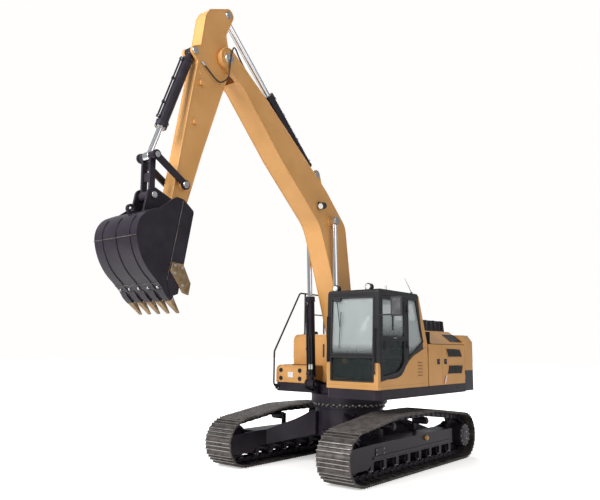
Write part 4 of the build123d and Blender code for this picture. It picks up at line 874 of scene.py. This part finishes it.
ring_at(caps, arm_eye, 0.06, 0.04, arm_half - 0.06, 0, 24)
fix(caps, "arm_pin_caps", "arm", ("bare steel",), 0.002)

# Arm hose: wire-braided rubber with crimped steel ends. It hangs in a loop between the arm's side and the
# boom's pipes.
hose_r, crimp_r, crimp_long = 0.012, 0.017, 0.07


def hose(mesh, points, radius, finish=0, sides=10, steps=6):
    """Round hose along a smooth line through points: rings that are bridged one to the next."""
    route = []
    padded = [points[0]] + list(points) + [points[-1]]
    for before, start, end, after in zip(padded, padded[1:], padded[2:], padded[3:]):
        start, end = Vector(start), Vector(end)
        pull_out, pull_in = (end - Vector(before)) / 6, (start - Vector(after)) / 6
        for i in range(steps):
            t = i / steps
            route.append(start * (1 - t) ** 3 + (start + pull_out) * 3 * t * (1 - t) ** 2
                         + (end + pull_in) * 3 * t * t * (1 - t) + end * t ** 3)
    route.append(Vector(points[-1]))
    turn = (route[1] - route[0]).to_track_quat("Z", "Y")
    loops = []
    for i, point in enumerate(route):
        run = (route[min(i + 1, len(route) - 1)] - route[max(i - 1, 0)]).normalized()
        turn = (turn @ Vector((0, 0, 1))).rotation_difference(run) @ turn
        made = bmesh.ops.create_circle(mesh, segments=sides, radius=radius,
                                       matrix=Matrix.Translation(point) @ turn.to_matrix().to_4x4())
        loops.append(made["verts"])
    rings = [list({edge for vert in verts for edge in vert.link_edges}) for verts in loops]
    for near, far in zip(rings, rings[1:]):
        for skin in bmesh.ops.bridge_loops(mesh, edges=near + far)["faces"]:
            skin.material_index = finish
    for ring in (rings[0], rings[-1]):
        for skin in bmesh.ops.edgeloop_fill(mesh, edges=ring)["faces"]:
            skin.material_index = finish


line = bmesh.new()
loop_points = [(3.963, 0.075, 6.194), (3.86, 0.085, 6.123), (3.713, 0.095, 6.02), (3.6, 0.11, 5.99),
               (3.49, 0.15, 6.1), (3.47, 0.17, 6.36), (3.42, 0.165, 6.58), (3.33, 0.13, 6.63),
               (3.2, 0.09, 6.54), (2.95, 0.05, 6.345)]
hose(line, loop_points, hose_r)
for a, b in ((loop_points[0], loop_points[1]), (loop_points[-1], loop_points[-2])):
    a, b = Vector(a), Vector(b)
    rod(line, a, a + (b - a).normalized() * crimp_long, crimp_r, 1, 12)
made = fix(line, "arm_hose", None, ("black plastic", "bare steel"))
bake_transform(made)

# Bucket linkage: polished steel pin ends on dark turned collars, at the guide links and at the bucket's pins.
# The pins are pressed through the links, and the collars keep them from moving sideways.
link_top, link_low = (4.735, 4.56), (4.725, 4.01)
caps = bmesh.new()
ring_at(caps, link_top, 0.185, 0.046, 0.016, 0, 32, 0.04)
ring_at(caps, link_top, 0.184, 0.062, 0.006, 1, 32)
fix(caps, "guide_link_caps", "guide_links", ("bare steel", "dark paint"), 0.002)
caps = bmesh.new()
ring_at(caps, link_low, 0.145, 0.064, 0.012, 1, 36)
ring_at(caps, link_low, 0.157, 0.046, 0.008, 0, 32, 0.04)
ring_at(caps, bucket_pin, 0.145, 0.075, 0.012, 1, 36)
ring_at(caps, bucket_pin, 0.157, 0.05, 0.008, 0, 32, 0.044)
fix(caps, "bucket_pin_caps", "bucket", ("bare steel", "dark paint"), 0.002)

# Cylinders: drawn tubes with a bolted gland, a rod wiper, port blocks and a steel pipe along the barrel.
# Columns: name, foot, eye, lines of y, tube radius, start, length, rod radius.
cylinders = (("boom", (0.705, 1.38), (0.825, 4.29), (-0.342, 0.242), 0.080, 0.13, 1.57, 0.044),
             ("arm", (1.115, 5.12), (3.425, 7.18), (-0.05,), 0.088, 0.19, 1.664, 0.050),
             ("bucket", (4.08, 6.33), (4.735, 4.56), (-0.05,), 0.076, 0.15, 1.39, 0.042))
for name, foot, head, ys, tube_r, start, length, rod_r in cylinders:
    barrel = bmesh.new()
    run = Vector((head[0] - foot[0], 0, head[1] - foot[1])).normalized()
    out = Vector((-run.z, 0, run.x))
    if name == "boom":
        out = -out
    for y in ys:
        base = Vector((foot[0], y, foot[1]))
        rod(barrel, base + run * start, base + run * (start + 0.035), tube_r + 0.008, 0, 36)
        rod(barrel, base + run * (length - 0.09), base + run * (length - 0.075), tube_r + 0.016, 0, 36)
        rod(barrel, base + run * length, base + run * (length + 0.012), rod_r + 0.016, 1, 32)
        for i in range(8):
            angle = pi * (i + 0.5) / 4
            spoke = out * cos(angle) + Vector((0, 1, 0)) * sin(angle)
            bolt = base + run * length + spoke * (tube_r - 0.006)
            rod(barrel, bolt, bolt + run * 0.012, 0.009, 1, 6)
        for reach in (start + 0.06, length - 0.13):
            port = base + run * reach + out * (tube_r - 0.004)
            rod(barrel, port, port + out * 0.05, 0.026, 0, 14)
            rod(barrel, port + out * 0.028, port + out * 0.044, 0.033, 1, 6)
        pipe = base + out * (tube_r + 0.035)
        rod(barrel, pipe + run * (start + 0.06), pipe + run * (length - 0.13), 0.013, 0, 12)
        for share in (0.35, 0.7):
            clamp = pipe + run * (start + (length - start) * share)
            rod(barrel, clamp - run * 0.02, clamp + run * 0.02, 0.021, 0, 12)
    body = f"{name}_barrels" if len(ys) > 1 else f"{name}_barrel"
    fix(barrel, f"{name}_barrel_fittings", body, ("dark paint", "bare steel"), 0.002)

# Boom cylinder hoses: two rubber hoses on each barrel, clipped along its front.
# White crimped couplings with a steel nut join them near the base.
lines = bmesh.new()
_, foot, head, boom_cylinder_ys = cylinders[0][:4]
run = Vector((head[0] - foot[0], 0, head[1] - foot[1])).normalized()
# Columns: how far up the barrel, how far out from its axis.
hose_line = ((0.17, 0.082), (0.21, 0.097), (0.30, 0.1), (0.60, 0.1), (0.82, 0.098), (0.86, 0.082))
coupling_low, coupling_high, nut_high = 0.27, 0.345, 0.36
for y, inward in zip(boom_cylinder_ys, (1, -1)):
    base = Vector((foot[0], y, foot[1]))
    for angle in (radians(21), radians(46)):
        spoke = Vector((run.z, 0, -run.x)) * cos(angle) + Vector((0, inward * sin(angle), 0))
        hose(lines, [base + run * up + spoke * out for up, out in hose_line], 0.013)
        low, high, end = (base + run * up + spoke * 0.1 for up in (coupling_low, coupling_high, nut_high))
        rod(lines, low, high, 0.018, 1, 14)
        rod(lines, high, end, 0.02, 2, 6)
hose_finishes = ("black plastic", "lamp lens", "bare steel")
fix(lines, "boom_cylinder_hoses", "boom_barrels", hose_finishes)

# Bucket: wear-resistant steel plate, bent and welded, with a doubler strip along each side's front edge.
# Weld seams run along the strip, the inner curve and the ears, and two cross it from side to side.
bucket_half, cutter, strip_thick = 0.452, 0.482, 0.007
steel = bmesh.new()
front_strip = [(4.467, 3.935), (4.31, 3.815), (4.44, 3.1), (4.514, 2.708), (4.64, 2.655), (4.70, 2.859),
               (4.646, 3.094), (4.481, 3.926)]
inner_curve = [(5.02, 3.60), (4.99, 3.42), (4.92, 3.27), (4.80, 3.08), (4.70, 2.90)]
for side_sign in (-1, 1):
    y = boom_y + side_sign * bucket_half
    slab(steel, [(x, y, z) for x, z in front_strip], (0, side_sign * strip_thick, 0), 0)
    bead(steel, [(x, y + side_sign * strip_thick, z) for x, z in front_strip[5:]], 0.005, 1, False)
    bead(steel, [(x, y, z) for x, z in inner_curve], 0.005, 0, False)
for x, z in ((5.198, 3.37), (4.83, 2.807)):
    rod(steel, (x, boom_y - bucket_half, z), (x, boom_y + bucket_half, z), 0.007, 1, 8)
for side_sign in (-1, 1):
    for x, z in ((4.60, 3.872), (4.87, 3.772)):
        rod(steel, (x, boom_y + side_sign * 0.10, z), (x, boom_y + side_sign * 0.16, z), 0.011, 0, 8)
fix(steel, "bucket_welds", "bucket", ("dark paint", "track steel"))

# Bucket bolts: hexagon heads of zinc-plated steel, screwed through the plate along the lip and on the side
# cutters. A round pin through each adapter locks its tooth.
bolts = bmesh.new()
lip, floor_end, tooth_pitch, tooth_count = Vector((4.645, 0, 2.636)), Vector((4.89, 0, 2.865)), 0.195, 5
lip_run = (lip - floor_end).normalized()
lip_out = Vector((-lip_run.z, 0, lip_run.x))
for i in range(tooth_count):
    y = boom_y + tooth_pitch * (i - 2)
    head = lip - lip_run * 0.19 + Vector((0, y, 0))
    rod(bolts, head, head + lip_out * 0.016, 0.021, 0, 6)
    rod(bolts, head + lip_out * 0.016, head + lip_out * 0.02, 0.012, 0, 12)
    for side_sign in (-1, 1):
        pin = lip + lip_run * 0.055 - lip_out * 0.02 + Vector((0, y + side_sign * 0.046, 0))
        rod(bolts, pin, pin + Vector((0, side_sign * 0.016, 0)), 0.012, 0, 12)
for side_sign in (-1, 1):
    y = boom_y + side_sign * cutter
    for x, z in ((4.60, 3.05), (4.48, 3.03), (4.60, 2.95), (4.47, 2.80)):
        rod(bolts, (x, y, z), (x, y + side_sign * 0.014, z), 0.022, 0, 6)
fix(bolts, "bucket_bolts", "bucket", ("bare steel",), 0.002)
